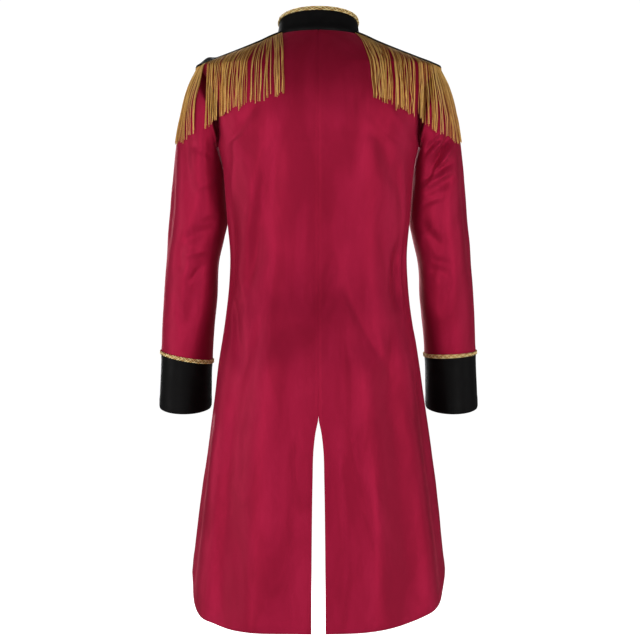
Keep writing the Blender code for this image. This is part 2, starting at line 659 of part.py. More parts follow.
def make_cuff_braid(covers, side, word, surfaces):
    """Braid over the seam of sleeve and cuff, on the facets of both."""
    sleeve, away_sleeve, _ = covers["sleeve", side]
    cuff, away_cuff, _ = covers["cuff", side]
    seam = (sleeve[-1] + cuff[0]) / 2
    half = BRAID_HEIGHT / 2
    rows = np.stack([seam + unit(sleeve[-2] - seam) * half, seam, seam + unit(cuff[1] - seam) * half])
    normal = np.stack([away_sleeve[-2], away_cuff[0], away_cuff[1]])
    vertices, faces = wall_mesh(rows + normal * (LIFT + BRAID_THICKNESS), rows + normal * LIFT, True)
    add_piece(f"cuff_braid_{word}", vertices, faces, surfaces["gold"], side)


def grid_tree(*grids):
    """Search tree of the surfaces of some (grid, wrap) pairs or bare grids."""
    points, faces = [], []
    for entry in grids:
        grid, wrap = entry if isinstance(entry, tuple) else (entry, False)
        rows, columns = grid.shape[:2]
        start = len(points)
        points += [Vector(point) for point in grid.reshape(-1, 3)]
        for i in range(rows - 1):
            for j in range(columns if wrap else columns - 1):
                a, b = start + i * columns + j, start + i * columns + (j + 1) % columns
                faces += [(a, b, b + columns), (a, b + columns, a + columns)]
    return BVHTree.FromPolygons(points, faces)


def height_over(tree, x, y, above):
    """Height at a place in plan that is `above` the surface there, square to it."""
    place, normal, _, _ = tree.ray_cast(Vector((x, y, 0.2)), Vector((0, 0, -1)))
    return place.z + above / max(abs(normal.z), 0.35)


def board_plan(along, across):
    """Place in plan on the shoulder board: along 0 to 1 outwards, across 1 back, -1 front."""
    middle = (BOARD_BACK_EDGE + BOARD_FRONT_EDGE) / 2
    half = (BOARD_BACK_EDGE - BOARD_FRONT_EDGE) / 2
    y = middle + half * across * (1 - BOARD_TAPER * step((along - BOARD_TAPER_FROM) / (1 - BOARD_TAPER_FROM)))
    start = NECK_HALF_WIDTH * math.sqrt(1 - (y / NECK_HALF_DEPTH) ** 2) + BOARD_START_GAP
    end = BOARD_END - BOARD_ROUNDING * abs(across) ** 2.5
    return start + (end - start) * along, y


def make_board(tree, side, word, surfaces):
    """Shoulder board: a stiff thin plate along the shoulder seam's line, raised at each of
    its points by the most that the cloth near it stands above that line."""
    rows, columns, finer = 9, 7, 4
    fine = np.zeros(((rows - 1) * finer + 1, (columns - 1) * finer + 1, 3))
    for i in range(fine.shape[0]):
        for j in range(fine.shape[1]):
            x, y = board_plan(i / (fine.shape[0] - 1), 1 - 2 * j / (fine.shape[1] - 1))
            fine[i, j] = x, y, height_over(tree, x, y, BOARD_CLEARANCE)
    line = smooth(SEAM_LINE, "x", "z", fine[..., 0])
    over = fine[..., 2] - line
    bottom = fine[::finer, ::finer].copy()
    for i in range(rows):
        for j in range(columns):
            near_i = slice(max(0, (i - 1) * finer + 1), (i + 1) * finer)
            near_j = slice(max(0, (j - 1) * finer + 1), (j + 1) * finer)
            bottom[i, j, 2] = line[i * finer, j * finer] + over[near_i, near_j].max()
    across = np.linspace(-1, 1, columns)
    top = bottom.copy()
    top[..., 2] += BOARD_THICKNESS * (1 - BOARD_EDGE_THINNING * across ** 4)
    vertices, faces = wall_mesh(top, bottom, False)
    add_piece(f"shoulder_board_{word}", vertices, faces, surfaces["black"], side)
    return grid_tree(bottom)


def board_outline(count):
    """Even places along the board's back edge, end and front edge, with the way outwards."""
    steps = np.linspace(0, 1, 60)
    walk = [board_plan(t, 1) for t in steps] + [board_plan(1, 1 - 2 * t) for t in steps[1:]]
    walk = np.array(walk + [board_plan(1 - t, -1) for t in steps[1:]])
    length = np.concatenate([[0], np.cumsum(np.linalg.norm(np.diff(walk, axis=0), axis=1))])
    even = np.linspace(0, length[-1], OUTLINE_PLACES)
    walk = np.stack([np.interp(even, length, walk[:, i]) for i in (0, 1)], axis=1)
    kernel = np.ones(CORNER_SMOOTHING) / CORNER_SMOOTHING
    padded = np.pad(walk, ((CORNER_SMOOTHING // 2,) * 2, (0, 0)), mode="reflect", reflect_type="odd")
    walk = np.stack([np.convolve(padded[:, i], kernel, mode="valid") for i in (0, 1)], axis=1)
    ahead = np.gradient(walk, axis=0)
    outwards = unit(np.stack([ahead[:, 1] * -1, ahead[:, 0]], axis=1))
    at = np.linspace(4, OUTLINE_PLACES - 5, count)
    pick = [np.interp(at, np.arange(OUTLINE_PLACES), column) for column in (*walk.T, *outwards.T)]
    return np.stack(pick[:2], axis=1), unit(np.stack(pick[2:], axis=1))


def taut_line(points):
    """Upper hull of points (out, up) from the first, as a thread pulled over them lies."""
    chain = [points[0]]
    for point in points[1:][np.argsort(points[1:, 0])]:
        while len(chain) > 1:
            a, b = chain[-2], chain[-1]
            if (b[0] - a[0]) * (point[1] - a[1]) < (b[1] - a[1]) * (point[0] - a[0]):
                break
            chain.pop()
        chain.append(point)
    return np.array(chain)


def cloth_beside(tree, root, outwards, sideways, lean, length):
    """Places (out, up) from a root, STRAND_CLEARANCE off the cloth that its strand meets:
    found by rays from above and from outside, along both edges of its lane and its middle."""
    found = [np.zeros(2)]
    for lane in (-STRAND_WIDTH / 2, 0.0, STRAND_WIDTH / 2):
        for out in np.arange(0.001, 0.05, 0.0015):
            place = root[:2] + outwards * out + sideways * (lane + lean * (out / length) ** 1.5)
            hit, normal, _, _ = tree.ray_cast(Vector((*place, RAY_START)), Vector((0, 0, -1)))
            if hit is not None:
                away = np.array((normal.x * outwards[0] + normal.y * outwards[1], normal.z))
                away = away * np.sign(normal.z) * STRAND_CLEARANCE
                found.append(np.array((out, hit.z - root[2])) + away)
        for drop in np.arange(0.001, length, 0.002):
            place = root[:2] + outwards * RAY_START + sideways * (lane + lean * (drop / length) ** 1.5)
            hit, normal, _, distance = tree.ray_cast(Vector((*place, root[2] - drop)),
                                                     Vector((*-outwards, 0)), RAY_START)
            if hit is not None:
                away = np.array((normal.x * outwards[0] + normal.y * outwards[1], normal.z))
                away = away * (1 if away[0] > 0 else -1) * STRAND_CLEARANCE
                found.append(np.array((RAY_START - distance, -drop)) + away)
    return np.array([point for point in found if point[0] >= 0])


def strand_path(tree, root, outwards, sideways, lean, length):
    """A strand's centre line: pulled over the cloth from its root, then straight down,
    while it leans sideways to its bundle.  Points at STRAND_JOINTS of its length."""
    path = taut_line(cloth_beside(tree, root, outwards, sideways, lean, length))
    path = np.concatenate([path, [(path[-1][0], path[-1][1] - length)]])
    travel = np.concatenate([[0], np.cumsum(np.linalg.norm(np.diff(path, axis=0), axis=1))])
    fine = np.linspace(0, travel[-1], 200)
    path = np.stack([np.interp(fine, travel, path[:, i]) for i in (0, 1)], axis=1)
    travel = np.concatenate([[0], np.cumsum(np.linalg.norm(np.diff(path, axis=0), axis=1))])
    wanted = np.array(STRAND_JOINTS) * length
    picked = np.stack([np.interp(wanted, travel, path[:, i]) for i in (0, 1)], axis=1)
    # move each joint off the cloth by what the straight pieces beside it would cut off
    push = np.zeros((len(wanted), 2))
    for i in range(len(wanted) - 1):
        inside = (travel > wanted[i]) & (travel < wanted[i + 1])
        chord = picked[i + 1] - picked[i]
        square = np.array([-chord[1], chord[0]]) / np.linalg.norm(chord)
        cut = max([0.0] + list((path[inside] - picked[i]) @ square))
        for k, amount in ((i, cut), (i + 1, cut * (2 if i == 0 else 1))):
            if np.linalg.norm(push[k]) < amount:
                push[k] = square * amount
    push[0] = 0.0
    picked = picked + push
    drift = lean * np.array(STRAND_JOINTS) ** 1.5
    flat = root[None, :2] + picked[:, :1] * outwards + drift[:, None] * sideways
    return np.concatenate([flat, root[2] + picked[:, 1:]], axis=1)


def chords_clear(tree, places, low):
    """Heights of a chain of places, raised where a straight piece of it, or a place of it,
    lies less than HEADER_CLEARANCE above the cloth."""
    low = np.maximum(low, [height_over(tree, *place, HEADER_CLEARANCE) for place in places])
    for i in range(len(places) - 1):
        for share in (0.25, 0.5, 0.75):
            place = places[i] * (1 - share) + places[i + 1] * share
            lack = height_over(tree, *place, HEADER_CLEARANCE) - low[i] * (1 - share) - low[i + 1] * share
            if lack > 0:
                low[i:i + 2] += lack
    return low


def heading_rims(tree, board, places, outwards, along):
    """Bottom points of the heading strip: its inner rim, between the strands, and its
    outer rim, two for each strand, with all of it clear of the cloth."""
    pitch = np.linalg.norm(places[1] - places[0])
    ways = np.concatenate([outwards, outwards[-1:]])
    inner = np.concatenate([places - along * pitch / 2, [places[-1] + along[-1] * pitch / 2]])
    inner = inner + ways * HEADER_GAP
    rim = places + outwards * HEADER_WIDTH
    outer = np.stack([rim - along * STRAND_WIDTH / 2, rim + along * STRAND_WIDTH / 2], axis=1).reshape(-1, 2)
    edge = np.concatenate([places, places[-1:]]) - ways * BOARD_RIM
    low_inner = np.array([height_over(board, *place, 0.0) for place in edge])
    low_inner = chords_clear(tree, inner, low_inner)
    beside = np.repeat(low_inner[:-1], 2)
    low_outer = chords_clear(tree, outer, beside - HEADER_SLOPE * HEADER_WIDTH)
    middle = (outer + np.repeat(inner[:-1], 2, axis=0)) / 2
    low_middle = chords_clear(tree, middle, (low_outer + beside) / 2)
    low_outer = np.maximum(low_outer, 2 * low_middle - beside)
    return (np.concatenate([inner, low_inner[:, None]], axis=1),
            np.concatenate([outer, low_outer[:, None]], axis=1))


def add_strand(vertices, faces, ring, path, sideways, outwards):
    """Carry a strand's root, a ring of four vertices, along its path and close its end."""
    for j in range(1, len(path)):
        thick = unit(np.cross(sideways, unit(path[j] - path[j - 1])))
        if thick @ np.array([*outwards, 0.3]) < 0:
            thick = -thick
        taper = 1 - STRAND_TAPER * (j / (len(path) - 1)) ** 2
        new = [len(vertices) + k for k in range(4)]
        for across, up in ((-1, -1), (1, -1), (1, 1), (-1, 1)):
            vertices.append(path[j] + sideways * across * taper * STRAND_WIDTH / 2
                            + thick * up * taper * HEADER_THICKNESS / 2)
        faces += [(ring[k], ring[(k + 1) % 4], new[(k + 1) % 4], new[k]) for k in range(4)]
        ring = new
    faces.append(tuple(ring))


def make_fringe(tree, board, side, word, surfaces):
    """Fringe of one board: a heading strip on the cloth round the board, and strands drawn
    out of its outer rim, which hang over shoulder and sleeve."""
    places, outwards = board_outline(STRANDS_A_SIDE)
    pitch = np.linalg.norm(places[1] - places[0])
    along = unit(np.gradient(places, axis=0))
    inner, outer = heading_rims(tree, board, places, outwards, along)
    thick = np.array([0.0, 0.0, HEADER_THICKNESS])
    vertices = [corner for point in (*inner, *outer) for corner in (point, point + thick)]
    outer_start = 2 * len(inner)
    faces = []
    for i in range(STRANDS_A_SIDE):
        # heading: its inner rim, bottom and top, and the gap to the next strand
        m, n = 2 * i, 2 * i + 2
        a, b = outer_start + 4 * i, outer_start + 4 * i + 2
        c = b + 2
        faces.append((m, n, n + 1, m + 1))
        if i < STRANDS_A_SIDE - 1:
            faces += [(m, a, b, c, n), (m + 1, a + 1, b + 1, c + 1, n + 1), (b, c, c + 1, b + 1)]
        else:
            faces += [(m, a, b, n), (m + 1, a + 1, b + 1, n + 1), (b, n, n + 1, b + 1)]
        if i == 0:
            faces.append((m, a, a + 1, m + 1))
        # strand: the rim between a and b, carried along its path
        ring = [a, b, b + 1, a + 1]
        root = np.array([vertices[index] for index in ring]).mean(axis=0)
        wave = math.sin(2.4 * i) + 0.6 * math.sin(5.3 * i + 1.0)
        length = STRAND_LENGTH * (1 + STRAND_LENGTH_SPREAD * wave)
        lean = ((STRAND_BUNDLE - 1) / 2 - i % STRAND_BUNDLE) * pitch * STRAND_LEAN
        path = strand_path(tree, root, outwards[i], along[i], lean, length)
        add_strand(vertices, faces, ring, path, np.array([*along[i], 0.0]), outwards[i])
    add_piece(f"fringe_{word}", vertices, faces, surfaces["gold"], side)


def main():
    for thing in list(bpy.data.objects):
        bpy.data.objects.remove(thing, do_unlink=True)
    surfaces = {
        "velvet": material("burgundy_velvet", (0.30, 0.012, 0.038), 0.55),
        "black": material("black_satin", (0.008, 0.008, 0.009), 0.50),
        "gold": material("gold_thread", (0.60, 0.36, 0.10), 0.42, 0.35),
    }
    covers = make_cloth(surfaces)
    make_collar_braid(covers, surfaces)
    for side, word in ((1, "left"), (-1, "right")):
        make_cuff_braid(covers, side, word, surfaces)
        cloth = [covers[name, side] for name in ("back", "front", "sleeve")]
        tree = grid_tree(*((grid, wrap) for grid, _, wrap in cloth))
        board = make_board(tree, side, word, surfaces)
        make_fringe(tree, board, side, word, surfaces)


main()
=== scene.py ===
"""Ringmaster tailcoat, dressed: velvet, satin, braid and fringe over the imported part.

Every cloth piece is a thin shell whose outer surface is a function of two parameters on
a grid: sections of the coat, joined smoothly, plus folds laid along lines.  Trims are
profiles carried along paths that lie on those surfaces.  Metres; +X is the wearer's
left, +Y the back, +Z up; the origin is the centre of the neck opening.
"""

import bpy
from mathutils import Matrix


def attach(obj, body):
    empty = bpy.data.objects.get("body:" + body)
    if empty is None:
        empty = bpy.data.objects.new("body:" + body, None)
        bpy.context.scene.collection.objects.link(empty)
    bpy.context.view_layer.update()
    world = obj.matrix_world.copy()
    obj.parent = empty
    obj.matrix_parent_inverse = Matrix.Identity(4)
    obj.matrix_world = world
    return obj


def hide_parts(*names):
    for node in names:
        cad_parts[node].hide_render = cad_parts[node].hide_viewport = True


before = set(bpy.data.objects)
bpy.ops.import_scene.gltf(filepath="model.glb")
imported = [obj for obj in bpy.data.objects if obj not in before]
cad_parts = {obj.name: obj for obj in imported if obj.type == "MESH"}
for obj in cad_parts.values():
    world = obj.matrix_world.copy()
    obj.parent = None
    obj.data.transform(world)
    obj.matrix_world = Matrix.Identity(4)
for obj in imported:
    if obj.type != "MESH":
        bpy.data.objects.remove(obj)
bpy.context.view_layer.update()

import math

import bpy
import numpy as np
from mathutils import Vector
from bpy.props import FloatProperty, FloatVectorProperty, IntProperty, PointerProperty

bl_info = {
    "name": "Ringmaster tailcoat",
    "version": (1, 0, 0),
    "blender": (4, 5, 0),
    "location": "View3D > Sidebar > Tailcoat",
    "description": "Dresses the packed tailcoat in velvet, satin, braid and fringe",
    "category": "Add Mesh",
}

# ---- shape of the coat --------------------------------------------------------------

ARMHOLE_BOTTOM = -0.205     # height of the underarm point
SHOULDER_TIP = -0.062       # height of the shoulder seam's outer end
FRONT_AT_TIP = -0.098       # height at the centre front of the row that meets the tip
NECK_BACK = -0.003          # neck seam at the centre back
NECK_FRONT = -0.050         # neck seam at the centre front
NECK_HALF_WIDTH = 0.0745
NECK_HALF_DEPTH = 0.065
UNDERARM_FLARE = 0.006      # how far the underarm point stands out from the side
FLARE_REACH = 0.025         # height over which that flare dies out downwards
FLARE_CLIMB = 0.3           # share of the armhole over which it does upwards
ROUNDNESS = 0.90            # power of the body's section arcs, 1 for an ellipse

COLLAR_HALF_WIDTH = 0.0690  # at its top edge
COLLAR_HALF_DEPTH = 0.0580
COLLAR_BACK = 0.0400        # height of its top edge at the centre back
COLLAR_FRONT = -0.0120      # and at the centre front
COLLAR_TILT = 0.65          # power by which it falls: below 1, it stays high at the back
COLLAR_SQUARENESS = 0.92    # power of its width round the neck, 1 for an ellipse
COLLAR_BEND = 0.004         # of its sides, inwards on the lower half, outwards on the upper
COLLAR_PARTING = FRONT_PARTING = 0.0016     # between edges that meet at the centre front

BOARD_BACK_EDGE = 0.034     # y of the shoulder board's back edge
BOARD_FRONT_EDGE = -0.032
BOARD_END = 0.221           # x of its round outer end
BOARD_START_GAP = 0.0022    # from the neck seam to the board
BOARD_ROUNDING = 0.015      # how far its end's corners lie behind its tip
BOARD_TAPER = 0.14          # share of its width lost over its last stretch
BOARD_TAPER_FROM = 0.70     # share of its length where that stretch starts


def table(columns, rows):
    """Named columns of a table of numbers, one row on each line, each as an array."""
    values = np.array([line.split() for line in rows.strip().splitlines()], dtype=float)
    return dict(zip(columns.split(), values.T.copy()))


# Level sections of the body: half width, and y of back, side and front.
BODY = table("height half_width back side front", """
    -1.1 .2345 .147 .004 -.118
    -.98 .228 .143 .004 -.118
    -.88 .2174 .139 .004 -.118
    -.78 .2045 .134 .004 -.118
    -.68 .1915 .13 .004 -.119
    -.587 .178 .125 .005 -.12
    -.52 .1675 .114 .008 -.117
    -.46 .1605 .102 .01 -.113
    -.4 .158 .097 .014 -.112
    -.342 .1625 .104 .021 -.117
    -.27 .168 .116 .024 -.125
    -.205 .1725 .1225 .024 -.13""")

# Centre lines above the underarm: how far back and front lie from the middle.
UPPER = table("share back front", """
    0 .1225 -.13
    .3 .122 -.129
    .55 .116 -.121
    .72 .103 -.108
    .88 .084 -.087
    1 .065 -.066""")

# Lower edge by angle round the body: 0 centre back, 90 side, 180 centre front.
HEM = table("angle left right", """
    0 -1.06 -1.06
    12 -1.06 -1.059
    27 -1.059 -1.053
    39 -1.0554 -1.0455
    50 -1.048 -1.0365
    61 -1.039 -1.024
    70 -1.02 -1.008
    78 -.999 -.988
    90 -.962 -.956
    105 -.9 -.896
    120 -.826 -.824
    135 -.742 -.741
    150 -.656 -.656
    165 -.574 -.574
    180 -.515 -.515""")

# Half width of the back vent.
VENT = table("height half_gap", """
    -1.06 .0123
    -.974 .012
    -.903 .0115
    -.796 .01
    -.741 .0083
    -.709 .0044
    -.69 .0004
    -.68 0""")

# Sections from the underarm (0) up to the shoulder tip (1): half width and y of the side
# of the whole arc, and the degrees from the centre at which the armhole cuts it off.
ARMHOLE = table("share half_width side back_turn front_turn", """
    0 .1725 .024 90 90
    .06 .1745 .024 82 84
    .27 .1895 .021 71 71
    .5 .199 .016 66 65
    .7 .205 .01 67.5 67
    .88 .2095 .003 75.5 75.5
    1 .212 0 90 90""")

# Shoulder seam from the tip (0) to the neck (1).
SHOULDER = table("share x z", """
    0 .212 -.062
    .3 .177 -.048
    .6 .133 -.031
    .85 .095 -.015
    1 .0745 -.005""")

# Underside of the shoulder board along its middle, outwards, and at its two long edges.
BOARD_LINE = table("x middle back_edge front_edge", """
    .066 -.0014 -.0039 -.009
    .084 -.0086 -.0109 -.0151
    .102 -.0172 -.0194 -.0227
    .119 -.0245 -.0266 -.0293
    .136 -.0315 -.0335 -.0355
    .154 -.0386 -.0406 -.0421
    .171 -.0452 -.0471 -.0482
    .189 -.052 -.054 -.0549
    .206 -.0586 -.0605 -.0614
    .222 -.0652 -.0666 -.0676""")

# Rings of sleeve and cuff: centre, half width, half depth, and the degrees by which the
# back of the ring dips and its outer side rises.  The first two rings are the cuff's.
SLEEVE = table("height x y half_width half_depth dip rise", """
    -.675 .245 -.082 .0478 .052 14 0
    -.58 .2412 -.07 .0468 .054 5.5 6.5
    -.535 .2385 -.062 .0475 .0565 5 3
    -.48 .2335 -.053 .0485 .06 5 0
    -.4 .228 -.041 .0485 .064 2 0
    -.37 .2233 -.037 .0513 .065 0 0
    -.342 .2188 -.034 .0533 .066 0 0
    -.3 .2173 -.03 .0508 .067 0 0
    -.265 .217 -.026 .048 .068 0 0""")
CAP_END, SLEEVE_END, CUFF_END = -0.265, -0.580, -0.675
CAP_HEIGHT = 0.10           # of the cap at its middle
CAP_OUT, CAP_ROUND = 0.85, 0.30     # way in which the cap leaves the armhole: out, round it,
CAP_DOWN, CAP_LIFT = -0.50, 0.20    # down, and less so at the underarm;
CAP_PULL = 0.35             # how strongly: by a share of the way to the first ring,
CAP_PULL_TOP, CAP_PULL_LOW = 0.010, 0.014     # by metres, and by more at the underarm
CAP_ARRIVE = (0.05, -0.08, -1.0)    # way in which it meets that ring
SEAM_SKEW = 0.003           # the right cuff seam runs higher than the left by twice this
SEAM_SKEW_FADE = 0.080      # to nothing, above and below the seam

# Folds of the body: a soft trough (depth below 0) or ridge along a line between two
# points, each an angle round the body and a height.  side is 1 left, -1 right, 0 both.
# The first ones are in the part's solids too; the later ones are finer.
FOLD_COLUMNS = "side angle_a height_a angle_b height_b width depth"
BODY_FOLDS = table(FOLD_COLUMNS, """
    1 20 -.2 48 -.47 .02 -.0045
    1 64 -.47 47 -.6 .016 -.0045
    1 38 -.27 60 -.44 .024 .003
    1 70 -.33 72 -.48 .016 -.004
    -1 34 -.19 55 -.29 .018 -.0045
    -1 13 -.4 31 -.6 .018 -.0045
    -1 60 -.39 56 -.5 .018 -.005
    -1 30 -.3 38 -.52 .024 .003
    0 0 -.15 0 -.38 .03 -.004
    1 7 -.72 8 -1.08 .024 -.0045
    1 26 -.56 24 -1.08 .034 .006
    1 46 -.64 44 -1.06 .026 -.006
    1 64 -.56 60 -1.04 .026 .0055
    1 80 -.62 78 -1 .022 -.005
    -1 9 -.76 8 -1.08 .024 -.0045
    -1 22 -.58 21 -1.07 .032 .0055
    -1 39 -.6 41 -1.06 .028 -.006
    -1 58 -.56 57 -1.04 .028 .006
    -1 72 -.6 71 -1 .022 -.005
    -1 81 -.52 81 -.9 .015 .0035
    1 112 -.42 100 -.78 .026 -.0055
    -1 114 -.43 102 -.76 .026 -.0055
    1 136 -.24 150 -.46 .024 .0045
    -1 134 -.25 152 -.45 .024 .0045
    0 124 -.52 118 -.8 .026 .005
    0 165 -.3 158 -.48 .026 .0035""")
BODY_FINE_FOLDS = table(FOLD_COLUMNS, """
    -1 44 -.13 66 -.185 .009 .0016
    -1 30 -.145 58 -.215 .011 -.0018
    -1 52 -.225 64 -.33 .01 -.0016
    -1 64 -.38 60 -.49 .016 -.0045
    -1 76 -.355 71 -.51 .012 -.003
    -1 15 -.462 41 -.606 .008 -.0024
    1 68 -.475 50 -.592 .008 -.0024
    1 33 -.25 47 -.44 .01 -.002
    1 40 -.135 64 -.2 .01 -.0018
    1 55 -.205 68 -.3 .01 .0014
    -1 66 -.41 50 -.47 .008 -.0016
    -1 48 -.52 40 -.64 .012 -.0018
    1 68 -.43 52 -.5 .008 -.0015
    1 34 -.5 40 -.66 .012 -.0016
    1 16 -.76 15 -.98 .011 .0014
    -1 14 -.7 16 -.96 .011 -.0014
    1 35 -.83 33 -1.05 .012 -.0016
    -1 31 -.78 30 -1.04 .012 -.0014
    1 54 -.76 52 -1.02 .012 .0015
    -1 50 -.8 49 -1.03 .012 -.0014
    0 146 -.15 122 -.23 .011 -.0018
    0 128 -.3 140 -.4 .01 -.0015
    0 172 -.42 160 -.5 .01 -.0012
    0 108 -.4 124 -.44 .008 -.0015
    0 132 -.6 126 -.76 .012 -.0014""")
METRES_A_DEGREE = 0.0027    # along the body, to weigh an angle against a height

# Folds of the sleeves, in the same way.  Their angle starts at the underarm and goes
# round by the back (90) and the outer side (180) to the front (270).
SLEEVE_FOLDS = table(FOLD_COLUMNS, """
    1 128 -.17 100 -.32 .016 -.005
    1 82 -.18 62 -.33 .015 .004
    1 48 -.35 112 -.375 .013 -.005
    1 118 -.38 112 -.43 .013 -.0045
    1 70 -.4 92 -.56 .015 -.005
    -1 62 -.255 122 -.185 .013 -.006
    -1 72 -.215 128 -.14 .012 .005
    -1 60 -.29 118 -.262 .012 -.0055
    -1 45 -.34 84 -.39 .014 -.005
    -1 48 -.425 92 -.435 .012 -.0045
    -1 150 -.23 152 -.42 .014 -.0035
    1 158 -.22 160 -.4 .014 -.0035
    0 300 -.33 240 -.39 .016 -.005
    0 310 -.38 250 -.425 .014 .004
    0 300 -.43 235 -.47 .016 -.005
    0 275 -.16 310 -.29 .016 -.0045
    0 225 -.48 262 -.56 .018 -.0035
    0 140 -.52 100 -.57 .016 -.003
    0 335 -.24 335 -.34 .018 .0055
    0 -25 -.24 -25 -.34 .018 .0055""")
SLEEVE_FINE_FOLDS = table(FOLD_COLUMNS, """
    -1 57 -.214 98 -.19 .006 -.0044
    -1 60 -.228 106 -.196 .005 .0034
    -1 64 -.252 124 -.188 .006 -.0046
    -1 66 -.266 126 -.204 .005 .0036
    -1 50 -.268 118 -.236 .006 -.0044
    -1 50 -.284 112 -.254 .005 .003
    -1 52 -.31 96 -.296 .006 -.0022
    -1 40 -.365 78 -.352 .006 .0014
    -1 56 -.408 98 -.416 .006 -.0016
    -1 96 -.44 70 -.5 .007 -.0014
    1 56 -.225 110 -.205 .007 -.0016
    1 50 -.262 92 -.285 .006 .0014
    1 44 -.332 80 -.342 .006 -.0016
    1 52 -.392 108 -.402 .006 .0015
    1 60 -.42 96 -.452 .006 -.0015
    1 120 -.47 96 -.545 .008 -.0014
    0 318 -.3 262 -.345 .007 -.0016
    0 322 -.352 268 -.4 .006 .0014
    0 305 -.405 250 -.448 .006 -.0016
    0 292 -.21 330 -.262 .007 -.0016
    0 205 -.36 236 -.41 .007 -.0014
    0 190 -.44 225 -.52 .008 -.0012
    0 335 -.2 335 -.248 .018 .0045
    0 -25 -.2 -25 -.248 .018 .0045""")
SLEEVE_METRES_A_DEGREE = 0.00100
FOLD_END = 0.085            # length over which a fold dies out at its ends, at most,
FOLD_END_SHARE = 0.45       # and as a share of a short fold's length
FOLD_START = 0.4            # share of that stretch by which it reaches beyond the line
BODY_FOLDS_TOP = -0.095     # height above which the body has no folds
BODY_FOLDS_FADE = 0.09      # height over which they come in, below it
SLEEVE_FOLDS_START = 0.35   # share of the cap over which they come in
SLEEVE_FOLDS_STOP = 1.93    # v of sleeve_point where they have died out
SLEEVE_FOLDS_FADE = 0.2     # share of the sleeve over which they do

# Slack of the cloth between its folds: waves as cycles a metre round and up, phase, height.
SLACK = table("around up phase height", """
    7 2 .3 .0005
    -10 3 1.9 .00034
    15 -6 4.1 .0002
    5 11 2.6 .00018
    -21 8 5.2 .00012
    27 15 .9 8e-05""")

# Fineness of the grids.  The body's rows run from the hem to the underarm, to the shoulder
# tip and to the neck.
ROWS_SKIRT, ROWS_ARMHOLE, ROWS_SHOULDER, COLUMNS_BODY = 120, 46, 18, 72
ROWS_CAP, ROWS_SLEEVE, ROWS_CUFF, COLUMNS_SLEEVE = 72, 110, 30, 120
ROWS_COLLAR, COLUMNS_COLLAR = 22, 64
ROWS_BOARD, COLUMNS_BOARD = 72, 40

# Sewing, in metres.
SEAM_DEPTH, SEAM_WIDTH = 0.0010, 0.0020       # groove of a seam
SEAM_SWELL = 0.0004         # of the seam allowance beside it
SEAM_SWELL_PLACE, SEAM_SWELL_WIDTH = 0.0070, 0.0045
HEM_SWELL, HEM_WIDTH = 0.0006, 0.022          # of the cloth turned up along a free edge
HEM_STEP = 0.008            # over which that swell ends
HEM_ROLL, HEM_ROLL_WIDTH = 0.0008, 0.0016     # rounding of the very edge
SEAM_OVERLAP = 0.00005      # of each back over the centre plane, so that no light comes through
SLACK_MARGIN = 0.12         # share of a body cloth's width over which slack dies out
CUFF_SLACK = 0.5            # slack of the cuff, as a share of the sleeve's

# Shares of each cloth over which the move of a sewn edge dies out.
JOIN_BODY, JOIN_SLEEVE, JOIN_CUFF, JOIN_COLLAR = 0.10, 0.25, 0.10, 0.30

# Plaits: the braid and the fringe's heading.
PLAIT_STRANDS, PLAIT_SIDES = 3, 8
PLAIT_STEPS = 22            # points of a strand in one turn of the plait
PLAIT_SPREAD = 0.70         # how far its strands swing, as a share of the plait's half width
PLAIT_WEAVE = 0.80          # how far they rise and dip, as a share of its half height
STRAND_WIDE = 0.25          # half a strand's width, as a share of that half width
STRAND_THICK = 0.62         # half its thickness, as a share of that half height
BRAID_LIFT = 0.0013         # from the cloth to the middle of a braid
BRAID_EDGE = 0.0002         # from the braid to the collar's top edge
BRAID_STEP = 0.05           # share of the collar over which the braid looks at its slope
COLLAR_BRAID_PLACES, CUFF_BRAID_PLACES = 721, 481

STRAND_POINTS = 40          # points along one strand of the fringe
STRAND_SIDES = 6
STRAND_TIP = 0.55           # share of its section left at its end
STRAND_FLATNESS = 0.85      # thickness of a strand as a share of its width
SIDE_PLACES = 60            # along each of the board's three sides, before they are joined
OUTLINE_PLACES = 400        # along the whole outline, before strands are spread on it
CORNER_SMOOTHING = 11       # of those places, averaged to round the board's corners

# How the fringe falls: along each board's outline (share 0 at the neck's back, 1 at its
# front) the degrees by which the strands turn from square to the edge towards the sleeve,
# on the left and on the right, and how much longer they are than the others.
FALL = table("share left right longer", """
    0 -4 24 1.14
    .04 3 21 1.12
    .1 14 16 1.1
    .2 19 9 1.05
    .3 20 17 1.01
    .365 21 20 1
    .385 52 26 1
    .44 24 14 1
    .5 0 0 1
    .57 -24 -20 1
    .62 -40 -34 1
    .65 -20 -18 1.01
    .76 -15 -17 1.03
    .9 -12 -12 1.07
    1 -5 -6 1.1""")
FRINGE_SEED = 41
BUNCH_SIZES = (3, 7)        # strands in a bunch, from the first number to below the second
FALL_OF_BUNCH, FALL_OF_STRAND = 2.4, 1.4      # degrees by which they stray
UNEVEN = 0.016              # share by which the lengths of bunches and of strands stray
HULL_STEP = 2e-4            # least step outwards of a thread pulled over the cloth
LANE = 0.0024               # half width of cloth that a strand's plane looks at
BEND_SMOOTHING = 9          # places averaged where a strand bends
ROOT_DEPTH = 0.0015         # how far under the board's edge a strand starts
ROOT_RISE = -0.0006         # of a strand's root over the board's underside
LAYER = 0.0012              # by which some strands lie higher than others
DRAWN_TOGETHER = 0.17       # share of its distance from the bunch's middle a strand loses
WAVE = 0.0009               # sideways waves of a strand
CLEAR = 0.0012              # from the cloth to a strand's centre line
CLOUD_BOTTOM = -0.30        # lowest cloth that a strand is laid over
CLOUD_INSIDE = 0.05         # and how near to the centre plane it starts

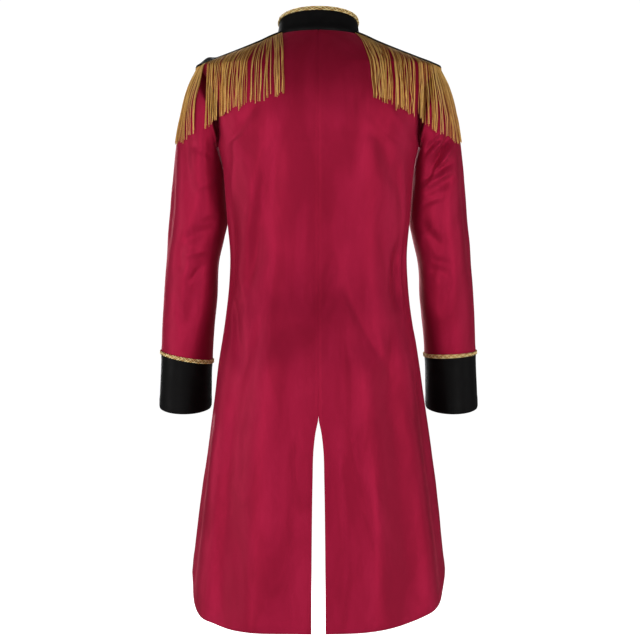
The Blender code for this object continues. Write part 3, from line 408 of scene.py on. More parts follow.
PAINTED_SHADE_TOP = (-0.20, -0.02)        # heights between which painted shade darkens the velvet upwards
PAINTED_SHADE_CENTRE = 0.036            # half width of the painted shade along the centre line of back and front
PAINTED_SHADE_TOP_SHARE, PAINTED_SHADE_CENTRE_SHARE = 0.55, 0.24        # how far the painted shades at the top and along the centre change the colour
PATCH_SHARE, GRAIN_SHARE = 0.38, 0.20         # and how far patches and grain do
HALF_TURN, WHOLE_TURN = 3.1416, 6.2832        # of a weave's waves

BOARD_HALF, BOARD_LENGTH = 0.033, 0.145       # half of a board's width, and its length
BOARD_EDGE = 0.0012         # rounding of its rim
BUMP_PLACE, BUMP_LENGTH = 0.1990, 0.0120      # x of the padded end's middle, its reach
BUMP_WIDTH = 0.72           # share of the board's half width

# The fringe's heading, a plait: its half height, and the length of one turn of it.
HEADING_HEIGHT, HEADING_TURN = 0.0006, 0.0090
HEADING_PLACES = 220
HEADING_OUT = -0.0012       # of the heading's middle from the board's edge
HEADING_RISE = -0.0008      # of the heading over the board's underside
HEADING_LEAN, HEADING_FACE = 0.75, 0.66       # way in which it faces, outwards and up

CAMERA_PLACE = (-0.0027, 3.6, -0.5166)
CAMERA_LENS = 112.5         # mm, on a sensor 36 mm wide
FLOOR_REACH = 30.0

# Lamps: name, place, where they point, size, watts and colour.
LIGHTS = (
    ("softbox_left", (2.1, 3.0, -0.64), (0.0, 0.0, -0.56), (1.0, 2.0), 53.0, (1.0, 0.98, 0.97)),
    ("softbox_right", (-2.1, 3.0, -0.64), (0.0, 0.0, -0.56), (1.0, 2.0), 53.0, (1.0, 0.98, 0.97)),
    ("strip_left", (3.2, 0.5, -0.60), (0.2, 0.0, -0.55), (0.7, 2.2), 34.0, (1.0, 0.98, 0.98)),
    ("strip_right", (-3.2, 0.5, -0.60), (-0.2, 0.0, -0.55), (0.7, 2.2), 19.0, (1.0, 0.98, 0.98)),
    ("fill_back", (0.0, 4.1, -0.50), (0.0, 0.0, -0.50), (0.9, 0.9), 18.0, (1.0, 0.99, 0.99)),
    ("fill_front", (0.6, -3.2, 0.4), (0.0, 0.0, -0.45), (2.5, 2.5), 66.0, (0.97, 0.98, 1.0)),
)


# ---- curves and surfaces ------------------------------------------------------------

def smooth(columns, at, *names):
    """Values of named columns where the table's first column is `at`: cubics through the
    rows, with slopes from the neighbours."""
    keys = next(iter(columns.values()))
    at = np.clip(np.asarray(at, dtype=float), keys[0], keys[-1])
    low = np.clip(np.searchsorted(keys, at) - 1, 0, len(keys) - 2)
    span = keys[low + 1] - keys[low]
    t = (at - keys[low]) / span
    found = []
    for name in names:
        values, slopes = columns[name], np.gradient(columns[name], keys)
        start = values[low] * (1 + 2 * t) * (1 - t) ** 2 + slopes[low] * span * t * (1 - t) ** 2
        found.append(start + values[low + 1] * t * t * (3 - 2 * t)
                     - slopes[low + 1] * span * t * t * (1 - t))
    return found if len(names) > 1 else found[0]


def step(t):
    """Soft step from 0 to 1 while t goes from 0 to 1: 3 t^2 - 2 t^3."""
    t = np.clip(t, 0.0, 1.0)
    return t * t * (3 - 2 * t)


def unit(vectors):
    """Vectors scaled to length 1."""
    return vectors / np.maximum(np.linalg.norm(vectors, axis=-1, keepdims=True), 1e-12)


def crowded(count, share):
    """count values from 0 to 1, closer together at both ends: a blend of an even row with
    (1 - cos(pi t)) / 2, by share."""
    t = np.linspace(0, 1, count)
    return t * (1 - share) + share * (0.5 - 0.5 * np.cos(np.pi * t))


def travel(path):
    """Length travelled along a path up to each of its points."""
    return np.concatenate([[0], np.cumsum(np.linalg.norm(np.diff(path, axis=0), axis=1))])


def points_at(at, keys, points):
    """Points between given ones, each of which has a key."""
    return np.stack([np.interp(at, keys, column) for column in points.T], axis=1)


def resample(path, count):
    """count places at even distances along a path of points."""
    length = travel(path)
    return points_at(np.linspace(0, length[-1], count), length, path)


def averaged(path, places):
    """Path smoothed by a moving average over an odd number of places."""
    kernel = np.ones(places) / places
    padded = np.pad(path, ((places // 2,) * 2, (0, 0)), mode="reflect", reflect_type="odd")
    return np.stack([np.convolve(column, kernel, mode="valid") for column in padded.T], axis=1)


BODY_ACROSS = crowded(COLUMNS_BODY, 0.75)
CAP_ROWS = crowded(ROWS_CAP, 0.4)
CUFF_ROWS = crowded(ROWS_CUFF, 0.6)
COLLAR_ROWS = crowded(ROWS_COLLAR, 0.6)
SLEEVE_AROUND = np.arange(COLUMNS_SLEEVE) / COLUMNS_SLEEVE


def fold_height(folds, side, angle, height, metres_a_degree):
    """Sum of the folds at a point: depth * exp(-(distance to the fold's line / width)^2),
    faded by a soft step at both ends of the line."""
    total = np.zeros(np.broadcast(angle, height).shape)
    for which, angle_a, height_a, angle_b, height_b, width, depth in zip(*folds.values()):
        if which not in (0, side):
            continue
        line = np.array([(angle_b - angle_a) * metres_a_degree, height_b - height_a])
        length = math.hypot(*line)
        right, up = line / length
        x, z = (angle - angle_a) * metres_a_degree, height - height_a
        along, across = x * right + z * up, x * up - z * right
        end = min(FOLD_END, length * FOLD_END_SHARE)
        ends = step(along / end + FOLD_START) * step((length - along) / end + FOLD_START)
        total = total + depth * np.exp(-(across / width) ** 2) * ends
    return total


def slack_height(around, up, side):
    """Sum of the waves of SLACK: height * sin(2 pi (around, up in cycles) + phase)."""
    total = np.zeros(np.broadcast(around, up).shape)
    for cycles, rises, phase, height in zip(*SLACK.values()):
        turn = 2 * np.pi * (around * cycles + up * rises * side) + phase * (1 + side / 3)
        total = total + height * np.sin(turn)
    return total


def arc(turn, power):
    """Point of a rounded quarter: (sin(turn)^power, cos(turn)^power)."""
    return np.sin(turn) ** power, np.clip(np.cos(turn), 0, 1) ** power


def body_point(side, face, v, u):
    """Body's outer surface.  face is 1 for the back and -1 for the front; u goes from the
    centre (0) to the outer edge (1); v from the hem (0) to the underarm (1), up the
    armhole to the shoulder tip (2) and along the shoulder seam to the neck (3).
    A point of a level arc is (half width * sin(turn)^p, side + depth * cos(turn)^p)."""
    u, v = np.broadcast_arrays(np.asarray(u, dtype=float), np.asarray(v, dtype=float))
    centre, tip_row, neck_row = (("back", SHOULDER_TIP, NECK_BACK) if face > 0 else
                                 ("front", FRONT_AT_TIP, NECK_FRONT))

    # below the underarm: level arcs from the centre to the side
    turn = u * 90.0
    hem = smooth(HEM, turn if face > 0 else 180.0 - turn, "left" if side > 0 else "right")
    height = hem + (ARMHOLE_BOTTOM - hem) * np.clip(v, 0, 1)
    half_width, side_y, centre_y = smooth(BODY, height, "half_width", "side", centre)
    row_x, row_y = arc(np.radians(turn), ROUNDNESS)
    parting = smooth(VENT, height, "half_gap") if face > 0 else 0.0
    flare = UNDERARM_FLARE * np.exp(-((height - ARMHOLE_BOTTOM) / FLARE_REACH) ** 2)
    lower = np.stack([parting + (half_width - parting) * row_x + flare * row_x ** 6,
                      side_y + (centre_y - side_y) * row_y, height], axis=-1)

    # above it: rows from the centre line to the armhole, then to the shoulder seam
    climb = np.sin(np.radians(90.0) * np.clip(v - 1, 0, 1))
    top = np.clip(v - 2, 0, 1)
    seam_x, seam_z = smooth(SHOULDER, top, "x", "z")
    centre_z = np.where(v < 2, ARMHOLE_BOTTOM + (tip_row - ARMHOLE_BOTTOM) * climb,
                        tip_row + (neck_row - tip_row) * top)
    edge_z = np.where(v < 2, ARMHOLE_BOTTOM + (SHOULDER_TIP - ARMHOLE_BOTTOM) * climb, seam_z)
    centre_y = smooth(UPPER, (centre_z - ARMHOLE_BOTTOM) / (neck_row - ARMHOLE_BOTTOM), centre)
    half_width, side_y, last = smooth(ARMHOLE, climb, "half_width", "side", centre + "_turn")
    half_width = np.where(v < 2, half_width, seam_x)
    row_x, row_y = arc(np.radians(u * last), ROUNDNESS + (1 - ROUNDNESS) * top)
    flare = UNDERARM_FLARE * step(1 - climb / FLARE_CLIMB)
    upper = np.stack([half_width * row_x + flare * row_x ** 6,
                      side_y + (centre_y - side_y) * row_y,
                      centre_z + (edge_z - centre_z) * step(u)], axis=-1)
    return np.where((v <= 1)[..., None], lower, upper)


def armhole_point(s):
    """Armhole seam once round: 0 underarm, 0.25 back, 0.5 shoulder tip, 0.75 front."""
    s = np.asarray(s, dtype=float) % 1.0
    back = body_point(1, 1, 1 + np.clip(2 * s, 0, 1), 1.0)
    front = body_point(1, -1, 1 + np.clip(2 - 2 * s, 0, 1), 1.0)
    return np.where((s <= 0.5)[..., None], back, front)


def ring_point(height, s):
    """Sleeve or cuff ring at a nominal height: an ellipse, tilted as its table says."""
    x, y, half_width, half_depth, dip, rise = smooth(SLEEVE, height, *list(SLEEVE)[1:])
    out, back = -half_width * np.cos(2 * np.pi * s), half_depth * np.sin(2 * np.pi * s)
    z = height - back * np.tan(np.radians(dip)) + out * np.tan(np.radians(rise))
    return np.stack([x + out, y + back, z], axis=-1)


def sleeve_point(v, s):
    """Sleeve's outer surface.  v goes from the armhole (0) to the end of the cap (1), the
    cuff seam (2) and the cuff's edge (3); s once round as in armhole_point.  The cap is a
    cubic from each armhole point to the same point of the first ring; it leaves outwards,
    more so at the underarm, and arrives downwards."""
    v, s = np.broadcast_arrays(np.asarray(v, dtype=float), np.asarray(s, dtype=float))
    start, goal = armhole_point(s), ring_point(CAP_END, s)
    reach = np.linalg.norm(goal - start, axis=-1, keepdims=True)
    low = 0.5 + 0.5 * np.cos(2 * np.pi * s)
    out = np.stack([CAP_OUT + 0 * s, CAP_ROUND * np.sin(2 * np.pi * s), CAP_DOWN + CAP_LIFT * low],
                   axis=-1)
    leave = out * (CAP_PULL * reach + CAP_PULL_TOP + CAP_PULL_LOW * low[..., None])
    arrive = np.array(CAP_ARRIVE) * reach
    t = np.clip(v, 0, 1)[..., None]
    cap = (start * (1 + 2 * t) * (1 - t) ** 2 + leave * t * (1 - t) ** 2
           + goal * t * t * (3 - 2 * t) - arrive * t * t * (1 - t))
    height = np.where(v < 2, CAP_END + (SLEEVE_END - CAP_END) * (v - 1),
                      SLEEVE_END + (CUFF_END - SLEEVE_END) * (v - 2))
    return np.where((v < 1)[..., None], cap, ring_point(height, s))


def collar_point(angle, rise):
    """Standing collar by angle round the neck (0 centre back, 90 left side, 180 centre
    front): straight from the neck seam (rise 0) to its top edge (rise 1), which is an
    ellipse that falls from the back to the front."""
    angle, rise = np.broadcast_arrays(np.asarray(angle, dtype=float), np.asarray(rise, dtype=float))
    round_neck, turn = np.abs(angle), np.radians(np.abs(angle))
    back = body_point(1, 1, 3.0, np.clip(round_neck, 0, 90) / 90.0)
    front = body_point(1, -1, 3.0, np.clip(180.0 - round_neck, 0, 90) / 90.0)
    foot = np.where((round_neck <= 90)[..., None], back, front)
    tilt = (0.5 + 0.5 * np.cos(turn)) ** COLLAR_TILT
    top = np.stack([COLLAR_HALF_WIDTH * np.sin(turn) ** COLLAR_SQUARENESS,
                    COLLAR_HALF_DEPTH * np.cos(turn),
                    COLLAR_FRONT + (COLLAR_BACK - COLLAR_FRONT) * tilt], axis=-1)
    points = foot + (top - foot) * rise[..., None]
    points[..., 0] += (step(rise) - rise) * COLLAR_BEND * np.sin(turn)
    points[..., 0] *= np.where(angle < 0, -1.0, 1.0)
    return points


def board_plan(along, across):
    """Place in plan on the shoulder board: along 0 to 1 outwards, across 1 back, -1 front."""
    middle = (BOARD_BACK_EDGE + BOARD_FRONT_EDGE) / 2
    half = (BOARD_BACK_EDGE - BOARD_FRONT_EDGE) / 2
    taper = BOARD_TAPER * step((along - BOARD_TAPER_FROM) / (1 - BOARD_TAPER_FROM))
    y = middle + half * across * (1 - taper)
    start = NECK_HALF_WIDTH * np.sqrt(1 - (y / NECK_HALF_DEPTH) ** 2) + BOARD_START_GAP
    end = BOARD_END - BOARD_ROUNDING * np.abs(across) ** 2.5
    return np.stack([start + (end - start) * along, y], axis=-1)


def board_seat(x, across):
    """Height of the board's underside: its middle line, bent down to its edges' lines."""
    middle, back_edge, front_edge = smooth(BOARD_LINE, x, "middle", "back_edge", "front_edge")
    edge = np.where(across > 0, back_edge, front_edge)
    return middle + (edge - middle) * np.abs(across) ** 2.4


# ---- cloth with its folds ------------------------------------------------------------

def grid_normals(grid, wrap):
    """Unit normals of a grid's points (rows, columns): the cross products of each quad's
    diagonals, added up at its four corners."""
    closed = np.concatenate([grid, grid[:, :1]], axis=1) if wrap else grid
    face = np.cross(closed[1:, 1:] - closed[:-1, :-1], closed[1:, :-1] - closed[:-1, 1:])
    total = np.zeros_like(closed)
    for corner in (np.s_[:-1, :-1], np.s_[1:, :-1], np.s_[:-1, 1:], np.s_[1:, 1:]):
        total[corner] += face
    if wrap:
        total[:, 0] += total[:, -1]
        total = total[:, :-1]
    return unit(total)


def seam_dip(distance):
    """Dip of cloth at a seam: SEAM_DEPTH * exp(-(distance / SEAM_WIDTH)^2), with a soft
    swell beside it from the turned seam allowance underneath."""
    dip = -SEAM_DEPTH * np.exp(-(distance / SEAM_WIDTH) ** 2)
    return dip + SEAM_SWELL * np.exp(-((distance - SEAM_SWELL_PLACE) / SEAM_SWELL_WIDTH) ** 2)


def turned_edge(distance):
    """Swell of cloth along a turned edge, HEM_WIDTH wide, rolled in at the very edge."""
    swell = HEM_SWELL * step((HEM_WIDTH - distance) / HEM_STEP)
    return swell - HEM_ROLL * np.exp(-(distance / HEM_ROLL_WIDTH) ** 2)


def body_cloth(side, face, strength):
    """Grid of one back or front, from the hem to the neck, its normals, and the metres
    round and up.  It is body_point, moved out by folds, slack, seams and turned edges."""
    rows = np.concatenate([crowded(ROWS_SKIRT, 0.5), 1 + np.linspace(0, 1, ROWS_ARMHOLE)[1:],
                           2 + np.linspace(0, 1, ROWS_SHOULDER)[1:]])[:, None]
    across = BODY_ACROSS[None, :]
    points = body_point(side, face, rows, across)
    normal = grid_normals(points, False) * -face
    angle = across * 90.0 if face > 0 else 180.0 - across * 90.0
    height = points[..., 2]
    folds = fold_height(BODY_FOLDS, side, angle, height, METRES_A_DEGREE)
    fine = fold_height(BODY_FINE_FOLDS, side, angle, height, METRES_A_DEGREE)
    folds = (folds + fine * strength) * step((BODY_FOLDS_TOP - height) / BODY_FOLDS_FADE)
    inside = step(rows * 8) * step((3 - rows) / 0.5)
    inside = inside * step(across / SLACK_MARGIN) * step((1 - across) / SLACK_MARGIN)
    folds = folds + slack_height(angle * METRES_A_DEGREE, height, side) * strength * inside
    from_centre = across * 90.0 * METRES_A_DEGREE
    from_side = (1 - across) * 90.0 * METRES_A_DEGREE
    from_hem = rows * (ARMHOLE_BOTTOM - points[:1, :, 2])
    from_neck = (3 - rows) * (SHOULDER["x"][0] - SHOULDER["x"][-1])
    opened = height < VENT["height"][-1] if face > 0 else np.full(height.shape, True)
    centre = np.where(opened, turned_edge(from_centre), seam_dip(from_centre))
    seams = centre + seam_dip(from_side) + turned_edge(from_hem) + seam_dip(from_neck)
    outer = points + normal * (folds + seams)[..., None]
    closed = height[:, 0] >= VENT["height"][-2] if face > 0 else np.full(len(rows), True)
    outer[closed, 0, 0] = -SEAM_OVERLAP if face > 0 else FRONT_PARTING / 2
    normal[:, 0, 0] = 0.0
    return outer, unit(normal), from_centre + 0 * rows, height


def sleeve_cloth(side, strength):
    """Grid of one sleeve, from the armhole to the cuff seam, as in body_cloth.  It is
    sleeve_point, moved out by folds, slack and the seams at its ends."""
    rows = np.concatenate([CAP_ROWS, 1 + np.linspace(0, 1, ROWS_SLEEVE)[1:]])[:, None]
    around = SLEEVE_AROUND[None, :]
    points = sleeve_point(rows, around)
    normal = grid_normals(points, True)
    height, angle = points[..., 2], around * 360.0
    length = angle * SLEEVE_METRES_A_DEGREE
    folds = fold_height(SLEEVE_FOLDS, side, angle, height, SLEEVE_METRES_A_DEGREE)
    fine = fold_height(SLEEVE_FINE_FOLDS, side, angle, height, SLEEVE_METRES_A_DEGREE)
    fade = step(rows / SLEEVE_FOLDS_START) * step((SLEEVE_FOLDS_STOP - rows) / SLEEVE_FOLDS_FADE)
    folds = (folds + fine * strength + slack_height(length, height, -side) * strength) * fade
    seams = seam_dip(rows * CAP_HEIGHT) + seam_dip((2 - rows) * (CAP_END - SLEEVE_END))
    return points + normal * (folds + seams)[..., None], normal, length + 0 * rows, height


def cuff_cloth():
    """Grid of one cuff, from its seam to its edge: sleeve_point with a turned edge."""
    rows = 2 + CUFF_ROWS[:, None]
    points = sleeve_point(rows, SLEEVE_AROUND[None, :])
    normal = grid_normals(points, True)
    length = SLEEVE_AROUND[None, :] * 360.0 * SLEEVE_METRES_A_DEGREE
    deep = SLEEVE_END - CUFF_END
    rise = seam_dip((rows - 2) * deep) + turned_edge((3 - rows) * deep)
    rise = rise + CUFF_SLACK * slack_height(length, points[..., 2], 1)
    return points + normal * rise[..., None], normal, length + 0 * rows, points[..., 2]


def join_edge(grid, move, fade):
    """Grid moved by `move` at one edge; the move dies out by fade, 1 there and 0 inside."""
    return grid + fade[..., None] * move


def seam_skew(points, side):
    """Sleeve or cuff points moved down on the left and up on the right near the cuff seam,
    by SEAM_SKEW * (1 - u), where u is -1 at the sleeve's inner side and 1 at its outer."""
    u = (points[..., 0] - SLEEVE["x"][1]) / SLEEVE["half_width"][1]
    near = step(1 - np.abs(points[..., 2] - SLEEVE_END) / SEAM_SKEW_FADE)
    move = side * SEAM_SKEW * np.clip(1 - u, 0, 2) * near
    return points - move[..., None] * np.array([0.0, 0.0, 1.0])


def sewn_cloths(side, strength):
    """All cloths of one side, by name, with their seams closed: back and front meet at the
    mean of their outer edges, the sleeve's start goes to the armhole that they leave, and
    the cuff's start to the sleeve's end."""
    back, front = (list(body_cloth(side, face, strength)) for face in (1, -1))
    middle = (back[0][:, -1] + front[0][:, -1]) / 2
    near = step(1 - (1 - BODY_ACROSS) / JOIN_BODY)[None, :]
    for cloth in (back, front):
        cloth[0] = join_edge(cloth[0], (middle - cloth[0][:, -1])[:, None], near)
    sleeve, cuff = list(sleeve_cloth(side, strength)), list(cuff_cloth())
    climb = np.where(SLEEVE_AROUND <= 0.5, 2 * SLEEVE_AROUND, 2 - 2 * SLEEVE_AROUND)
    rim = middle[ROWS_SKIRT - 1:ROWS_SKIRT + ROWS_ARMHOLE - 1]
    armhole = points_at(climb, np.linspace(0, 1, ROWS_ARMHOLE), rim)
    near = np.concatenate([step(1 - CAP_ROWS / JOIN_SLEEVE), np.zeros(ROWS_SLEEVE - 1)])[:, None]
    sleeve[0] = join_edge(sleeve[0], (armhole - sleeve[0][0])[None], near)
    near = step(1 - CUFF_ROWS / JOIN_CUFF)[:, None]
    cuff[0] = join_edge(cuff[0], (sleeve[0][-1] - cuff[0][0])[None], near)
    for cloth in (sleeve, cuff):
        cloth[0] = seam_skew(cloth[0], side)
    return {"back": back, "front": front, "sleeve": sleeve, "cuff": cuff}


def sewn_collar():
    """Grid of the collar as in body_cloth, from the neck edge of the body's cloths to its
    top edge, with both edges rounded."""
    half = crowded(COLUMNS_COLLAR, 0.2)[None, :] * 180.0
    angle = np.concatenate([-half[:, :0:-1], half], axis=1)
    rise = COLLAR_ROWS[:, None]
    points = collar_point(angle, rise)
    normal = -grid_normals(points, False)
    height = COLLAR_BACK - NECK_BACK
    roll = HEM_ROLL * np.exp(-((1 - rise) * height / HEM_ROLL_WIDTH) ** 2)
    grid = points + normal * (seam_dip(rise * height) - roll)[..., None]

    cloths = sewn_cloths(1, 0.0)
    columns = BODY_ACROSS * 90.0
    turn = np.concatenate([columns, 180.0 - columns[-2::-1]])
    rim = np.concatenate([cloths["back"][0][-1], cloths["front"][0][-1][-2::-1]])
    foot = points_at(np.abs(angle[0]), turn, rim)
    foot[:, 0] *= np.where(angle[0] < 0, -1.0, 1.0)
    grid = join_edge(grid, (foot - grid[0])[None], step(1 - COLLAR_ROWS / JOIN_COLLAR)[:, None])
    for column, way in ((0, -1), (-1, 1)):
        grid[:, column, 0] = way * COLLAR_PARTING / 2
        normal[:, column, 0] = 0.0
    return (grid, unit(normal), np.radians(angle) * NECK_HALF_WIDTH + 0 * rise,
            rise * height + 0 * angle)


# ---- meshes ---------------------------------------------------------------------------

def grid_faces(rows, columns, wrap):
    """Quads of a grid as vertex numbers, and each corner's row and column, where the last
    column of a closed grid counts on instead of starting again."""
    i, j = np.mgrid[0:rows - 1, 0:columns if wrap else columns - 1]
    corner_rows = np.stack([i, i, i + 1, i + 1], axis=-1).reshape(-1, 4)
    corner_columns = np.stack([j, j + 1, j + 1, j], axis=-1).reshape(-1, 4)
    return corner_rows * columns + corner_columns % columns, corner_rows, corner_columns


def volume(vertices, faces):
    """Signed volume inside quads: a sixth of the sum of a . (b x c) over their triangles."""
    a, b, c, d = (vertices[faces[:, k]] for k in range(4))
    return np.sum(a * np.cross(b, c) + a * np.cross(c, d)) / 6


def add_piece(stuff, node, vertices, faces, corners_uv, materials, kinds=None, side=1,
              sharp=40.0):
    """Object from quads that stands for a node of the part, with its stuff's slot, a UV in
    metres and a material number for each quad.  side -1 mirrors it to the wearer's right.
    Quads are turned so that they face outwards."""
    vertices = vertices * np.array([side, 1.0, 1.0])
    if volume(vertices, faces) < 0:
        faces, corners_uv = faces[:, ::-1], corners_uv[:, ::-1]
    mesh = bpy.data.meshes.new(f"{stuff}_{node}")
    mesh.from_pydata(vertices.tolist(), [], faces.tolist())
    layer = mesh.uv_layers.new(name="cloth")
    layer.data.foreach_set("uv", corners_uv.reshape(-1).astype(np.float32))
    for material in materials:
        mesh.materials.append(material)
    if kinds is not None:
        mesh.polygons.foreach_set("material_index", kinds.astype(np.int32))
    mesh.update()
    mesh.shade_smooth()
    mesh.set_sharp_from_angle(angle=math.radians(sharp))
    piece = placed(mesh.name, mesh)
    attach(piece, "root")
    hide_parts(node)


def placed(name, data):
    """New object in the scene."""
    thing = bpy.data.objects.new(name, data)
    bpy.context.scene.collection.objects.link(thing)
    return thing


def add_shell(stuff, node, grid, normal, around, along, thickness, wrap, side=1):
    """Closed shell: a grid, the same grid moved in by the thickness, and the rims between.
    Velvet shows its reverse on the inner side.  UV is (around, along) in metres."""
    rows, columns = grid.shape[:2]
    half = rows * columns
    vertices = np.concatenate([grid, grid - normal * thickness]).reshape(-1, 3)
    outside, corner_rows, corner_columns = grid_faces(rows, columns, wrap)
    uv = np.stack([around, along], axis=-1)
    whole_turn = around[:, -1:] + around[:, 1:2] - around[:, :1]
    last = np.stack([whole_turn, along[:, :1]], axis=-1)
    wall = np.concatenate([uv, last], axis=1)[corner_rows, corner_columns]
    faces, corners = [outside, outside[:, ::-1] + half], [wall, wall[:, ::-1]]
    rims = [(corner_rows[:, 0] == 0, (1, 0)), (corner_rows[:, 2] == rows - 1, (3, 2)),
            (corner_columns[:, 0] == 0, (0, 3)), (corner_columns[:, 1] == columns - 1, (2, 1))]
    for on_rim, ends in rims[:2] if wrap else rims:
        edge = outside[on_rim][:, ends]
        faces.append(np.concatenate([edge, edge[:, ::-1] + half], axis=1))
        edge_uv = uv.reshape(-1, 2)[edge]
        corners.append(np.concatenate([edge_uv, edge_uv[:, ::-1]], axis=1))
    kinds = np.concatenate([np.full(len(part), int(i == 1)) for i, part in enumerate(faces)])
    materials = (velvet(), velvet_reverse()) if stuff == "velvet" else (satin(), satin())
    add_piece(stuff, node, vertices, np.concatenate(faces), np.concatenate(corners), materials,
              kinds, side)


def sweep(paths, across, widths, heights, sides):
    """Tubes along several paths at once.  paths (tubes, points, 3); a ring of each point is
    path + width * cos(a) * across + height * sin(a) * up, with up square to both.  Gives
    vertices, quads with closed ends, and UV (tube number + a / 2 pi, length)."""
    tubes, points = paths.shape[:2]
    ahead = unit(np.gradient(paths, axis=1))
    across = unit(across - ahead * np.sum(across * ahead, axis=-1, keepdims=True))
    up = np.cross(ahead, across)
    turn = 2 * np.pi * np.arange(sides) / sides
    ring = (paths[:, :, None] + (widths[..., None] * np.cos(turn))[..., None] * across[:, :, None]
            + (heights[..., None] * np.sin(turn))[..., None] * up[:, :, None])
    wall, corner_rows, corner_columns = grid_faces(points, sides, True)
    fan = np.array([(0, k, k + 1, k + 2) for k in range(1, sides - 2, 2)])
    ends = np.concatenate([fan[:, ::-1], fan + (points - 1) * sides])
    number = np.arange(tubes)[:, None, None]
    quads = np.concatenate([wall, ends]) + number * points * sides
    length = np.array([travel(path) for path in paths])
    v = length[:, np.concatenate([corner_rows, ends // sides])]
    u = np.concatenate([corner_columns / sides, (ends % sides) / sides]) + number + 0 * v
    return ring.reshape(-1, 3), quads.reshape(-1, 4), np.stack([u, v], axis=-1).reshape(-1, 4, 2)


def plait(path, normal, half_width, half_height, turn_length, closed):
    """Flat plait along a path on a surface: strand k runs at
    across = spread * sin(t + 2 pi k / 3), lift = half_height * (1 + weave * sin(2 t + 4 pi k / 3)),
    where t grows by 2 pi in each turn_length of the path."""
    turns = max(2, round(travel(path)[-1] / turn_length))
    frames = resample(np.concatenate([path, normal], axis=1), turns * PLAIT_STEPS + 1)
    place, out = frames[:, :3], unit(frames[:, 3:])
    ahead = np.gradient(place, axis=0)
    if closed:
        ahead[0] = ahead[-1] = place[1] - place[-2]
        out[0] = out[-1] = unit(out[0] + out[-1])
    across = unit(np.cross(out, unit(ahead)))
    t = np.linspace(0, 2 * np.pi * turns, len(place))[None, :]
    t = t + 2 * np.pi * np.arange(PLAIT_STRANDS)[:, None] / PLAIT_STRANDS
    aside, lift = half_width * PLAIT_SPREAD * np.sin(t), half_height * PLAIT_WEAVE * np.sin(2 * t)
    lines = place + across * aside[..., None] + out * (half_height + lift)[..., None]
    beside = np.cross(np.broadcast_to(out, lines.shape), np.gradient(lines, axis=1))
    same = np.ones(lines.shape[:2])
    return sweep(lines, beside, same * half_width * STRAND_WIDE, same * half_height * STRAND_THICK,
                 PLAIT_SIDES)


# ---- fringe ---------------------------------------------------------------------------

def board_outline(count):
    """Even places along the board's back edge, end and front edge, the way outwards from
    each, and its share of the outline.  The corners are rounded by a moving average."""
    t = np.linspace(0, 1, SIDE_PLACES)
    walk = [board_plan(t, 1.0), board_plan(1.0, 1 - 2 * t[1:]), board_plan(1 - t[1:], -1.0)]
    walk = averaged(resample(np.concatenate(walk), OUTLINE_PLACES), CORNER_SMOOTHING)
    ahead = np.gradient(walk, axis=0)
    outwards = unit(np.stack([-ahead[:, 1], ahead[:, 0]], axis=1))
    at = np.linspace(0, OUTLINE_PLACES - 1, count)
    found = points_at(at, np.arange(OUTLINE_PLACES), np.concatenate([walk, outwards], axis=1))
    return found[:, :2], unit(found[:, 2:]), at / OUTLINE_PLACES


def rim_height(places, share):
    """Height of the board's underside at places that lie a share round its outline."""
    return board_seat(places[:, 0], np.interp(share, (0, 0.42, 0.58, 1), (1, 0.8, -0.8, -1)))


def taut_line(points):
    """Upper hull of points (out, up) from the first one on, as a thread pulled over them
    lies: from each corner it goes to the point that it sees under the steepest rise."""
    chain = [points[0]]
    while True:
        ahead = points[points[:, 0] > chain[-1][0] + HULL_STEP]
        if not len(ahead):
            return np.array(chain)
        rise = (ahead[:, 1] - chain[-1][1]) / (ahead[:, 0] - chain[-1][0])
        chain.append(ahead[np.argmax(rise)])


def hang(cloud, root, outwards, length):
    """A thread's line in its own upright plane, (out, up) from its root: pulled over the
    cloth's points that lie near that plane, then straight down; STRAND_POINTS places."""
    away = cloud - root
    out = away[:, 0] * outwards[0] + away[:, 1] * outwards[1]
    aside = away[:, 0] * outwards[1] - away[:, 1] * outwards[0]
    near = (np.abs(aside) < LANE) & (out > 0) & (away[:, 2] > -length)
    found = np.stack([out[near], away[near, 2]], axis=1)
    line = taut_line(np.concatenate([[(0.0, 0.0)], found]))
    line = np.concatenate([line, [line[-1] - (0, length)]])
    line = points_at(np.linspace(0, length, STRAND_POINTS * 4), travel(line), line)
    line = averaged(line, BEND_SMOOTHING)
    return line[np.linspace(0, len(line) - 1, STRAND_POINTS).astype(int)]


